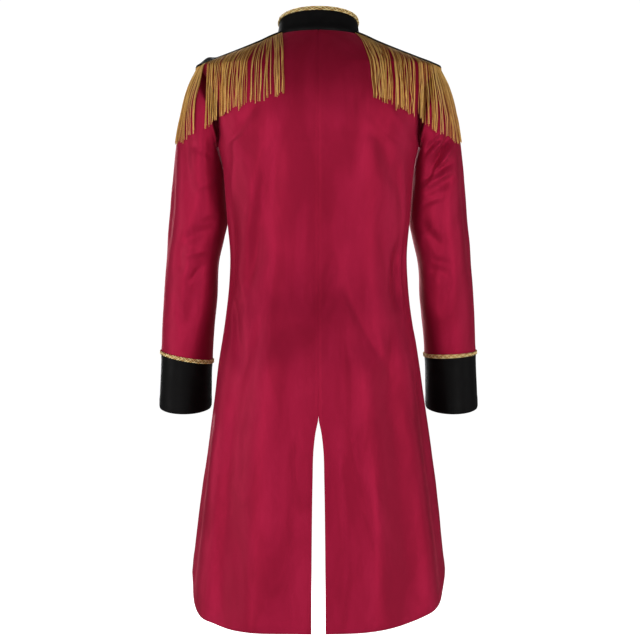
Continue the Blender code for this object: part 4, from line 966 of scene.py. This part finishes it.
def fringe_paths(cloud, side, sizes):
    """Centre lines of one board's strands (strands, points, 3), and the way across each.
    Strands of a bunch draw together below their roots, and each one waves a little."""
    draws = np.random.default_rng(FRINGE_SEED + side)
    count = sizes.strands
    places, outwards, share = board_outline(count)
    pitch = np.linalg.norm(places[1] - places[0])
    bunch = np.repeat(np.arange(count), draws.integers(*BUNCH_SIZES, count))[:count]
    middle = np.array([share[bunch == own].mean() for own in bunch])
    fall = smooth(FALL, middle, "left" if side > 0 else "right")
    fall = np.radians(fall + draws.normal(0, FALL_OF_BUNCH, count)[bunch]
                      + draws.normal(0, FALL_OF_STRAND, count))[:, None]
    ways = outwards * np.cos(fall) + outwards[:, ::-1] * (1, -1) * np.sin(fall)
    lengths = sizes.strand_length * np.interp(share, FALL["share"], FALL["longer"]) * (
        1 + draws.normal(0, UNEVEN, count)[bunch] + draws.normal(0, UNEVEN, count))
    lift = draws.uniform(0, 1, count)
    rise = rim_height(places, share) + ROOT_RISE
    t = np.linspace(0, 1, STRAND_POINTS)
    paths, aside = [], []
    for k in range(count):
        root = np.array([*(places[k] - outwards[k] * ROOT_DEPTH), rise[k]])
        line = hang(cloud, root, ways[k], lengths[k])
        square = unit(np.stack([-np.gradient(line[:, 1]), np.gradient(line[:, 0])], axis=1))
        square = square * np.where(square[:, :1] + square[:, 1:] < 0, -1, 1)
        line = line + square * (lift[k] * LAYER * step(t * 4))[:, None]
        drawn = (middle[k] - share[k]) / (share[1] - share[0]) * pitch * DRAWN_TOGETHER
        wave = draws.normal(0, 1, 3)
        drift = drawn * step(t * 1.4) + WAVE * step(t * 2) * (
            wave[0] * np.sin(7 * t + 6 * wave[1]) + 0.5 * wave[2] * np.sin(15 * t + 9 * wave[0]))
        beside = np.array([ways[k][1], -ways[k][0], 0.0])
        line = np.concatenate([root[:2] + line[:, :1] * ways[k], root[2] + line[:, 1:]], axis=1)
        paths.append(line + drift[:, None] * beside)
        aside.append(np.broadcast_to(beside, (STRAND_POINTS, 3)))
    return np.array(paths), np.array(aside)


# ---- boards, heading and the cloth under them ------------------------------------------

def board_faces(thickness, crown, bump):
    """Underside and top of a board as grids (along, across).  The top stands over the
    underside by (thickness + crown * (1 - across^2)) * edge, where edge rounds the rim as
    sqrt(1 - (1 - distance / rounding)^2), and the padded end adds
    bump * exp(-((x - BUMP_PLACE) / BUMP_LENGTH)^2 - (across / BUMP_WIDTH)^4)."""
    along = crowded(ROWS_BOARD, 0.5)[:, None]
    across = (crowded(COLUMNS_BOARD, 0.6) * 2 - 1)[None, :]
    plan = board_plan(*np.broadcast_arrays(along, across))
    seat = board_seat(plan[..., 0], across)
    rim = np.minimum((1 - np.abs(across)) * BOARD_HALF, (1 - along) * BOARD_LENGTH)
    rim = np.minimum(rim, along * BOARD_LENGTH)
    edge = np.sqrt(1 - (1 - np.clip(rim / BOARD_EDGE, 0, 1)) ** 2) * 0.5 + 0.5
    pad = np.exp(-((plan[..., 0] - BUMP_PLACE) / BUMP_LENGTH) ** 2 - (across / BUMP_WIDTH) ** 4)
    rise = (thickness * (1 - 0.1 * across ** 4) + crown * (1 - across ** 2)) * edge + bump * pad
    bottom = np.concatenate([plan, seat[..., None]], axis=-1)
    return bottom, bottom + rise[..., None] * np.array([0.0, 0.0, 1.0])


def shoulder_cloud(side, strength):
    """Points of back, front and sleeve by the shoulder, raised by CLEAR, in a cloud that the
    strands are laid over; on the left half for either side."""
    cloths = sewn_cloths(side, strength)
    cloud = np.concatenate([(cloths[name][0] + cloths[name][1] * CLEAR).reshape(-1, 3)
                            for name in ("back", "front", "sleeve")])
    return cloud[(cloud[:, 0] > CLOUD_INSIDE) & (cloud[:, 2] > CLOUD_BOTTOM)]


def fringe_heading(width):
    """Plaited heading of the fringe, flat against the board's edge and turned down."""
    places, outwards, share = board_outline(HEADING_PLACES)
    height = rim_height(places, share) + HEADING_RISE
    path = np.concatenate([places + outwards * HEADING_OUT, height[:, None]], axis=1)
    lean = np.concatenate([outwards * HEADING_LEAN, np.full((len(outwards), 1), HEADING_FACE)],
                          axis=1)
    return plait(path, lean, width / 2, HEADING_HEIGHT, HEADING_TURN, False)


# ---- materials ------------------------------------------------------------------------

class Nodes:
    """Adds nodes to a tree: input values are numbers, or sockets, which are linked."""

    def __init__(self, tree):
        self.tree = tree

    def feed(self, inputs, values):
        for key, value in values.items():
            if isinstance(value, bpy.types.NodeSocket):
                self.tree.links.new(value, inputs[key])
            else:
                inputs[key].default_value = value

    def add(self, kind, values=None, **settings):
        node = self.tree.nodes.new(kind)
        for key, value in settings.items():
            setattr(node, key, value)
        self.feed(node.inputs, values or {})
        return node

    def math(self, operation, *values):
        return self.add("ShaderNodeMath", dict(enumerate(values)), operation=operation).outputs[0]

    def plus(self, a, b):
        return self.math("ADD", a, b)

    def times(self, a, b):
        return self.math("MULTIPLY", a, b)

    def noise(self, vector, scale, detail=2.0, roughness=0.5, distortion=0.0):
        return self.add("ShaderNodeTexNoise", {
            "Vector": vector, "Scale": scale, "Detail": detail, "Roughness": roughness,
            "Distortion": distortion}).outputs["Fac"]

    def mix(self, factor, a, b):
        return self.add("ShaderNodeMix", {0: factor, 6: a, 7: b}, data_type="RGBA").outputs[2]

    def ramp(self, value, low, high, to_low=0.0, to_high=1.0):
        return self.add("ShaderNodeMapRange", {
            "Value": value, "From Min": low, "From Max": high, "To Min": to_low,
            "To Max": to_high}, interpolation_type="SMOOTHSTEP").outputs[0]

    def stretched(self, vector, scale):
        return self.add("ShaderNodeMapping", {"Vector": vector, "Scale": scale}).outputs[0]

    def place(self, kind):
        return self.add("ShaderNodeTexCoord").outputs[kind]

    def split(self, vector):
        return self.add("ShaderNodeSeparateXYZ", {0: vector}).outputs


def start_group(name, inputs):
    """New shader node group with input sockets {name: default} and the outputs Colour,
    Roughness and Height; gives a Nodes helper for it and its input sockets."""
    group = bpy.data.node_groups.new(name, "ShaderNodeTree")
    for key, default in inputs.items():
        kind = "NodeSocketColor" if hasattr(default, "__len__") else "NodeSocketFloat"
        group.interface.new_socket(key, in_out="INPUT", socket_type=kind).default_value = default
    for key in ("Colour", "Roughness", "Height"):
        kind = "NodeSocketColor" if key == "Colour" else "NodeSocketFloat"
        group.interface.new_socket(key, in_out="OUTPUT", socket_type=kind)
    nodes = Nodes(group)
    return nodes, nodes.add("NodeGroupInput").outputs


def end_group(nodes, colour, rough, height):
    """Links what a group gives, and gives the group."""
    nodes.add("NodeGroupOutput", {"Colour": colour, "Roughness": rough, "Height": height})
    return nodes.tree


def pile_group():
    """Velvet pile: cloud-like patches where it lies brushed or pressed, drawn out along
    the cloth, crushed marks between them, a fine grain, and painted shade that darkens it
    towards the top and along the centre line."""
    nodes, source = start_group("Velvet pile", {
        "Colour": (0.3, 0.01, 0.04, 1), "Brushed": (0.4, 0.03, 0.08, 1),
        "Pressed": (0.2, 0.005, 0.02, 1), "Patches": 1.0, "Roughness": 0.5})
    place = nodes.place("Object")
    broad = nodes.noise(nodes.stretched(place, (14, 14, 3.4)), 1.0, 4.0, 0.55, 0.9)
    marks = nodes.noise(nodes.stretched(place, (70, 70, 22)), 1.0, 5.0, 0.6, 1.2)
    grain = nodes.noise(place, 1300.0, 2.0, 0.7)
    pressed = nodes.times(nodes.ramp(broad, 0.56, 0.36), source["Patches"])
    ruffled = nodes.plus(broad, nodes.times(nodes.math("SUBTRACT", marks, 0.5), 0.5))
    brushed = nodes.times(nodes.ramp(ruffled, 0.50, 0.72), source["Patches"])
    colour = nodes.mix(nodes.times(pressed, PATCH_SHARE), source["Colour"], source["Pressed"])
    colour = nodes.mix(nodes.times(brushed, PATCH_SHARE), colour, source["Brushed"])
    across, _, up = nodes.split(place)
    away = nodes.math("ABSOLUTE", across)
    # grain changes the tone at random; the other two mixes paint shade, darker towards the top and
    # along the centre line
    for share in (nodes.ramp(grain, 0.35, 0.75, 0.0, GRAIN_SHARE),
                  nodes.ramp(up, *PAINTED_SHADE_TOP, 0.0, PAINTED_SHADE_TOP_SHARE),
                  nodes.ramp(away, 0.0, PAINTED_SHADE_CENTRE, PAINTED_SHADE_CENTRE_SHARE, 0.0)):
        colour = nodes.mix(share, colour, source["Pressed"])
    rough = nodes.plus(source["Roughness"], nodes.times(nodes.math("SUBTRACT", marks, 0.5), 0.22))
    height = nodes.plus(nodes.times(marks, 0.55), nodes.times(grain, 0.10))
    return end_group(nodes, colour, rough, height)


def weave_group():
    """Fine twill: ribs of a wave at 45 degrees on the UV map, broken by a finer wave
    across them, and faint rubbed patches."""
    nodes, source = start_group("Fine twill", {
        "Colour": (0.01, 0.01, 0.01, 1), "Rubbed": (0.03, 0.03, 0.03, 1), "Threads": 1400.0,
        "Roughness": 0.5})
    split = nodes.split(nodes.place("UV"))
    warp, weft = (nodes.times(split[k], source["Threads"]) for k in (0, 1))
    rib = nodes.math("SINE", nodes.times(nodes.plus(warp, weft), HALF_TURN))
    cross = nodes.math("SINE", nodes.times(weft, WHOLE_TURN))
    rubbed = nodes.noise(nodes.place("Object"), 26.0, 4.0, 0.6)
    colour = nodes.mix(nodes.ramp(rubbed, 0.45, 0.75), source["Colour"], source["Rubbed"])
    rough = nodes.plus(source["Roughness"], nodes.ramp(rubbed, 0.4, 0.7, -0.06, 0.08))
    height = nodes.plus(nodes.times(rib, 0.35), nodes.times(cross, 0.15))
    return end_group(nodes, colour, rough, height)


def twist_group():
    """Twisted thread: on UV (strand number + share of a turn, length), ribs that wind round
    the strand, with painted shade in the grooves between them, and painted highlight and
    painted shade on strands and patches chosen at random."""
    nodes, source = start_group("Twisted thread", {
        "Light": (0.8, 0.5, 0.2, 1), "Colour": (0.6, 0.36, 0.1, 1), "Dark": (0.2, 0.1, 0.03, 1),
        "Plies": 3.0, "Turns a metre": 330.0, "Roughness": 0.4})
    split = nodes.split(nodes.place("UV"))
    wound = nodes.plus(nodes.times(split[0], source["Plies"]),
                       nodes.times(split[1], source["Turns a metre"]))
    rib = nodes.math("SINE", nodes.times(wound, WHOLE_TURN))
    strand = nodes.add("ShaderNodeTexWhiteNoise", {"W": nodes.math("FLOOR", split[0])},
                       noise_dimensions="1D").outputs["Value"]
    patch = nodes.noise(nodes.place("Object"), 90.0, 3.0, 0.6)
    shade = nodes.plus(nodes.times(strand, 0.65), nodes.times(patch, 0.35))
    # painted shade in the grooves between the plies
    colour = nodes.mix(nodes.ramp(rib, -1.0, 0.2, 0.80, 0.0), source["Colour"], source["Dark"])
    # painted highlight on some strands and patches, chosen at random
    colour = nodes.mix(nodes.ramp(shade, 0.30, 0.72, 0.0, 0.7), colour, source["Light"])
    # painted shade on others
    colour = nodes.mix(nodes.ramp(shade, 0.42, 0.16, 0.0, 0.5), colour, source["Dark"])
    rough = nodes.plus(source["Roughness"], nodes.ramp(rib, -1.0, 1.0, 0.12, -0.08))
    return end_group(nodes, colour, rough, rib)


GROUPS = {"Velvet pile": pile_group, "Fine twill": weave_group, "Twisted thread": twist_group}


def finished(name, kind, values, strength, distance, **shader_values):
    """Material of a Principled shader fed by a group: its colour, roughness and relief.
    The group is built once and shared by name.  Plain values go on the shader itself, with
    _ in their names for a space."""
    if name in bpy.data.materials:
        return bpy.data.materials[name]
    group = bpy.data.node_groups.get(kind) or GROUPS[kind]()
    material = bpy.data.materials.new(name)
    material.use_nodes = True
    nodes = Nodes(material.node_tree)
    effect = nodes.add("ShaderNodeGroup", values, node_tree=group).outputs
    relief = nodes.add("ShaderNodeBump", {"Height": effect["Height"], "Strength": strength,
                                          "Distance": distance})
    shader = material.node_tree.nodes["Principled BSDF"].inputs
    nodes.feed(shader, {key.replace("_", " "): value for key, value in shader_values.items()})
    nodes.feed(shader, {"Base Color": effect["Colour"], "Roughness": effect["Roughness"],
                        "Normal": relief.outputs["Normal"]})
    return material


def paint(name, strength=1.0):
    """One of the coat's colours, times a strength, with its alpha."""
    return (*[strength * part for part in getattr(bpy.context.scene.coat_colours, name)], 1)


def velvet():
    """Burgundy velvet, pile side out."""
    return finished(
        "burgundy velvet", "Velvet pile",
        {"Colour": paint("velvet"), "Brushed": paint("velvet_brushed"),
         "Pressed": paint("velvet_pressed_and_shaded"), "Patches": 1.0, "Roughness": 0.50},
        0.35, 0.0012, Metallic=0.30, Sheen_Weight=0.32, Sheen_Roughness=0.45,
        Sheen_Tint=(1.0, 0.05, 0.15, 1), Specular_IOR_Level=0.20,
        Specular_Tint=(1.0, 0.10, 0.20, 1))


def velvet_reverse():
    """Woven back of the velvet, which shows inside the tails."""
    return finished(
        "velvet reverse", "Fine twill",
        {"Colour": paint("velvet_pressed_and_shaded"), "Rubbed": paint("velvet_pressed_and_shaded", 1.25),
         "Threads": 1100.0, "Roughness": 0.75}, 0.5, 0.0003, Specular_IOR_Level=0.25)


def satin():
    """Black satin of collar, cuffs and boards."""
    return finished(
        "black satin", "Fine twill",
        {"Colour": paint("satin"), "Rubbed": paint("satin_rubbed"), "Threads": 1500.0,
         "Roughness": 0.5},
        0.25, 0.0002, Sheen_Weight=0.01, Sheen_Roughness=0.5, Specular_IOR_Level=0.06)


def gold(name, light, middle, turns):
    """Gold metallic thread, twisted; the braid's is lighter than the fringe's."""
    return finished(
        name, "Twisted thread",
        {"Light": paint(light), "Colour": paint(middle), "Dark": paint("gold_shade"),
         "Turns a metre": turns, "Roughness": 0.42},
        0.6, 0.0003, Metallic=0.5, Specular_IOR_Level=0.3)


def camera_glow(nodes, bright):
    """A strength that only the camera sees."""
    return nodes.times(nodes.add("ShaderNodeLightPath").outputs["Is Camera Ray"], bright)


def plain_floor():
    """Pale matt floor with a faint mottling."""
    material = bpy.data.materials.new("pale floor")
    material.use_nodes = True
    nodes = Nodes(material.node_tree)
    tone = nodes.mix(nodes.noise(nodes.place("Object"), 3.0, 3.0), (0.84, 0.84, 0.84, 1),
                     (0.88, 0.88, 0.88, 1))
    nodes.feed(material.node_tree.nodes["Principled BSDF"].inputs, {
        "Base Color": tone, "Roughness": 0.9, "Emission Color": (1, 1, 1, 1),
        "Emission Strength": camera_glow(nodes, 0.95)})
    return material


def soft_world():
    """White surround: bright for the camera, dimmer as light."""
    world = bpy.data.worlds.new("white surround")
    world.use_nodes = True
    nodes = Nodes(world.node_tree)
    nodes.feed(world.node_tree.nodes["Background"].inputs, {
        "Color": (1, 1, 1, 1), "Strength": nodes.plus(camera_glow(nodes, 0.92), 0.12)})
    return world


# ---- sizes and colours a user may change ---------------------------------------------

def length(name, description, default):
    """A length in metres, as a property."""
    return FloatProperty(name=name, description=description, default=default, unit="LENGTH",
                         precision=4)


def colour(name, description, default):
    """A colour in linear RGB, as a property."""
    return FloatVectorProperty(name=name, description=description, default=default, size=3,
                               subtype="COLOR", min=0.0, max=1.0)


class CoatSizes(bpy.types.PropertyGroup):
    """Sizes of the coat's finer parts."""
    cloth: length("Cloth", "Thickness of velvet and satin", 0.0018)
    fold_strength: FloatProperty(name="Fine folds", default=1.25, min=0.0, max=2.0,
                                 description="Strength of the finer folds and slack")
    braid_width: length("Braid width", "Height of the braid on collar and cuffs", 0.0078)
    braid_turn: length("Braid turn", "Length of the braid in which its strands cross once", 0.0175)
    board_thickness: length("Board", "Thickness of a shoulder board", 0.0032)
    board_crown: length("Board crown", "Rise of a board's middle over its edges", 0.0005)
    bump_left: length("Left pad", "Rise of the padded end of the left board", 0.0070)
    bump_right: length("Right pad", "Rise of the padded end of the right board", 0.0012)
    heading_width: length("Heading", "Width of the fringe's heading", 0.0034)
    strands: IntProperty(name="Strands", default=190, min=20, max=300,
                         description="Strands in each board's fringe")
    strand_length: length("Strand length", "Length of a fringe strand", 0.138)
    strand_width: length("Strand width", "Thickness of a fringe strand", 0.0015)
    floor_height: length("Floor", "Height of the floor under the coat", -1.45)


class CoatColours(bpy.types.PropertyGroup):
    """Colours of the cloths and threads."""
    velvet: colour("Velvet", "Velvet in half light", (0.295, 0.0094, 0.038))
    velvet_brushed: colour("Brushed velvet", "Where the pile is brushed up", (0.39, 0.015, 0.056))
    # darker velvet: random pressed patches, and also the painted shade at the top and along the
    # centre line
    velvet_pressed_and_shaded: colour("Pressed velvet", "Where the pile lies flat", (0.16, 0.004, 0.015))
    satin: colour("Satin", "Black of collar, cuffs and boards", (0.0018, 0.0017, 0.0018))
    satin_rubbed: colour("Rubbed satin", "Where the black is rubbed", (0.0032, 0.0030, 0.0032))
    gold: colour("Gold thread", "Thread of the fringe", (0.84, 0.42, 0.085))
    gold_light: colour("Light gold", "Fringe thread that catches the light", (1.0, 0.68, 0.24))
    # painted shade of the gold thread: in the grooves between plies and on strands chosen at random
    gold_shade: colour("Dark gold", "Between the plies of a thread", (0.20, 0.080, 0.014))
    braid: colour("Braid", "Thread of the braid", (1.0, 0.66, 0.21))
    braid_light: colour("Light braid", "Braid thread that catches the light", (1.0, 0.90, 0.50))


# ---- the pieces ----------------------------------------------------------------------

SIDES = ((1, "left"), (-1, "right"))


def sew(context, stuff, names, wrap):
    """Makes the named cloths of both sides."""
    sizes = context.scene.coat_sizes
    for side, word in SIDES:
        cloths = sewn_cloths(side, sizes.fold_strength)
        for name in names:
            add_shell(stuff, f"{name}_{word}", *cloths[name], sizes.cloth, wrap, side)
    return {"FINISHED"}


class COAT_OT_body(bpy.types.Operator):
    """Backs and fronts in velvet, with their folds"""
    bl_idname = "coat.body"
    bl_label = "Backs and fronts"

    def execute(self, context):
        return sew(context, "velvet", ("back", "front"), False)


class COAT_OT_sleeves(bpy.types.Operator):
    """Sleeves in velvet, with their folds at the elbow"""
    bl_idname = "coat.sleeves"
    bl_label = "Sleeves"

    def execute(self, context):
        return sew(context, "velvet", ("sleeve",), True)


class COAT_OT_cuffs(bpy.types.Operator):
    """Deep straight cuffs in black satin"""
    bl_idname = "coat.cuffs"
    bl_label = "Cuffs"

    def execute(self, context):
        return sew(context, "satin", ("cuff",), True)


class COAT_OT_collar(bpy.types.Operator):
    """Standing collar in black satin"""
    bl_idname = "coat.collar"
    bl_label = "Collar"

    def execute(self, context):
        add_shell("satin", "collar", *sewn_collar(), context.scene.coat_sizes.cloth, False)
        return {"FINISHED"}


class COAT_OT_braid(bpy.types.Operator):
    """Plaited gold braid along the collar and over the cuff seams"""
    bl_idname = "coat.braid"
    bl_label = "Braid"

    def execute(self, context):
        sizes = context.scene.coat_sizes
        threads = (gold("gold braid", "braid_light", "braid", 520.0),)
        half, turn = sizes.braid_width / 2, sizes.braid_turn
        rise = 1 - (half + BRAID_EDGE) / (COLLAR_BACK - NECK_BACK)
        heights = rise + np.array([[-BRAID_STEP], [0.0], [BRAID_STEP]])
        rows = collar_point(np.linspace(-179.0, 179.0, COLLAR_BRAID_PLACES)[None, :], heights)
        normal = -grid_normals(rows, False)[1]
        mesh = plait(rows[1], normal, half, BRAID_LIFT, turn, False)
        add_piece("gold", "collar_braid", *mesh, threads)
        around = np.linspace(0, 1, CUFF_BRAID_PLACES)[None, :]
        for side, word in SIDES:
            rows = seam_skew(sleeve_point(np.array([[1.99], [2.0], [2.03]]), around), side)
            normal = grid_normals(rows[:, :-1], True)[1]
            normal = np.concatenate([normal, normal[:1]])
            mesh = plait(rows[1], normal, half, BRAID_LIFT, turn, True)
            add_piece("gold", f"cuff_braid_{word}", *mesh, threads, side=side)
        return {"FINISHED"}


class COAT_OT_boards(bpy.types.Operator):
    """Black shoulder boards with padded outer ends"""
    bl_idname = "coat.boards"
    bl_label = "Shoulder boards"

    def execute(self, context):
        sizes = context.scene.coat_sizes
        for (side, word), bump in zip(SIDES, (sizes.bump_left, sizes.bump_right)):
            bottom, top = board_faces(sizes.board_thickness, sizes.board_crown, bump)
            along = np.broadcast_to(top[:, :1, 0], top.shape[:2])
            add_shell("satin", f"shoulder_board_{word}", top, np.array([0.0, 0.0, 1.0]),
                      top[..., 1], along, (top - bottom)[..., 2:], False, side)
        return {"FINISHED"}


class COAT_OT_fringe(bpy.types.Operator):
    """Gold fringe that falls from a narrow heading round each board"""
    bl_idname = "coat.fringe"
    bl_label = "Fringe"

    def execute(self, context):
        sizes = context.scene.coat_sizes
        threads = (gold("gold thread", "gold_light", "gold", 330.0),)
        taper = np.linspace(1.0, STRAND_TIP, STRAND_POINTS) ** 0.5
        for side, word in SIDES:
            paths, aside = fringe_paths(shoulder_cloud(side, sizes.fold_strength), side, sizes)
            width = np.broadcast_to(sizes.strand_width / 2 * taper, paths.shape[:2])
            strands = sweep(paths, aside, width, width * STRAND_FLATNESS, STRAND_SIDES)
            heading = fringe_heading(sizes.heading_width)
            faces = np.concatenate([strands[1], heading[1] + len(strands[0])])
            add_piece("gold", f"fringe_{word}", np.concatenate([strands[0], heading[0]]), faces,
                      np.concatenate([strands[2], heading[2]]), threads, side=side, sharp=80.0)
        return {"FINISHED"}


class COAT_OT_stage(bpy.types.Operator):
    """Pale floor, soft studio light and the camera"""
    bl_idname = "coat.stage"
    bl_label = "Stage"

    def execute(self, context):
        scene = context.scene
        mesh = bpy.data.meshes.new("pale_floor")
        corners = [(x * FLOOR_REACH, y * FLOOR_REACH, scene.coat_sizes.floor_height)
                   for x, y in ((-1, -1), (1, -1), (1, 1), (-1, 1))]
        mesh.from_pydata(corners, [], [(0, 1, 2, 3)])
        mesh.materials.append(plain_floor())
        placed("pale_floor", mesh)
        for name, place, aim, size, power, tint in LIGHTS:
            lamp = bpy.data.lights.new(name, "AREA")
            lamp.shape, lamp.size, lamp.size_y = "RECTANGLE", *size
            lamp.energy, lamp.color = power, tint
            holder = placed(name, lamp)
            holder.location = place
            way = Vector(aim) - Vector(place)
            holder.rotation_euler = way.to_track_quat("-Z", "Y").to_euler()
        scene.world = soft_world()
        view = bpy.data.cameras.new("photo_view")
        view.lens, view.sensor_width = CAMERA_LENS, 36.0
        scene.camera = placed("photo_view", view)
        scene.camera.location = CAMERA_PLACE
        scene.camera.rotation_euler = (math.pi / 2, 0.0, math.pi)
        scene.view_settings.view_transform = "Standard"
        return {"FINISHED"}


class COAT_OT_cut(bpy.types.Operator):
    """Button for the cut of the cloths; it does nothing"""
    bl_idname = "coat.cut"
    bl_label = "Cut of the cloths"

    def execute(self, context):
        return {"FINISHED"}


class COAT_PT_panel(bpy.types.Panel):
    """Sidebar panel with the coat's sizes, colours and pieces"""
    bl_idname = "COAT_PT_panel"
    bl_label = "Tailcoat"
    bl_space_type = "VIEW_3D"
    bl_region_type = "UI"
    bl_category = "Tailcoat"

    def draw(self, context):
        for owner in (context.scene.coat_sizes, context.scene.coat_colours):
            column = self.layout.column(align=True)
            for key in owner.__annotations__:
                column.prop(owner, key)
        for maker in MAKERS:
            self.layout.operator(maker.bl_idname)


MAKERS = (COAT_OT_body, COAT_OT_sleeves, COAT_OT_cuffs, COAT_OT_collar, COAT_OT_braid,
          COAT_OT_boards, COAT_OT_fringe, COAT_OT_stage, COAT_OT_cut)
CLASSES = (CoatSizes, CoatColours, *MAKERS, COAT_PT_panel)


def register():
    """Registers the classes and hangs their settings on the scene."""
    for kind in CLASSES:
        bpy.utils.register_class(kind)
    bpy.types.Scene.coat_sizes = PointerProperty(type=CoatSizes)
    bpy.types.Scene.coat_colours = PointerProperty(type=CoatColours)


def unregister():
    """Takes them away again."""
    del bpy.types.Scene.coat_colours
    del bpy.types.Scene.coat_sizes
    for kind in reversed(CLASSES):
        bpy.utils.unregister_class(kind)


def main():
    register()
    for maker in MAKERS:
        group, name = maker.bl_idname.split(".")
        getattr(getattr(bpy.ops, group), name)()


if __name__ == "__main__":
    main()
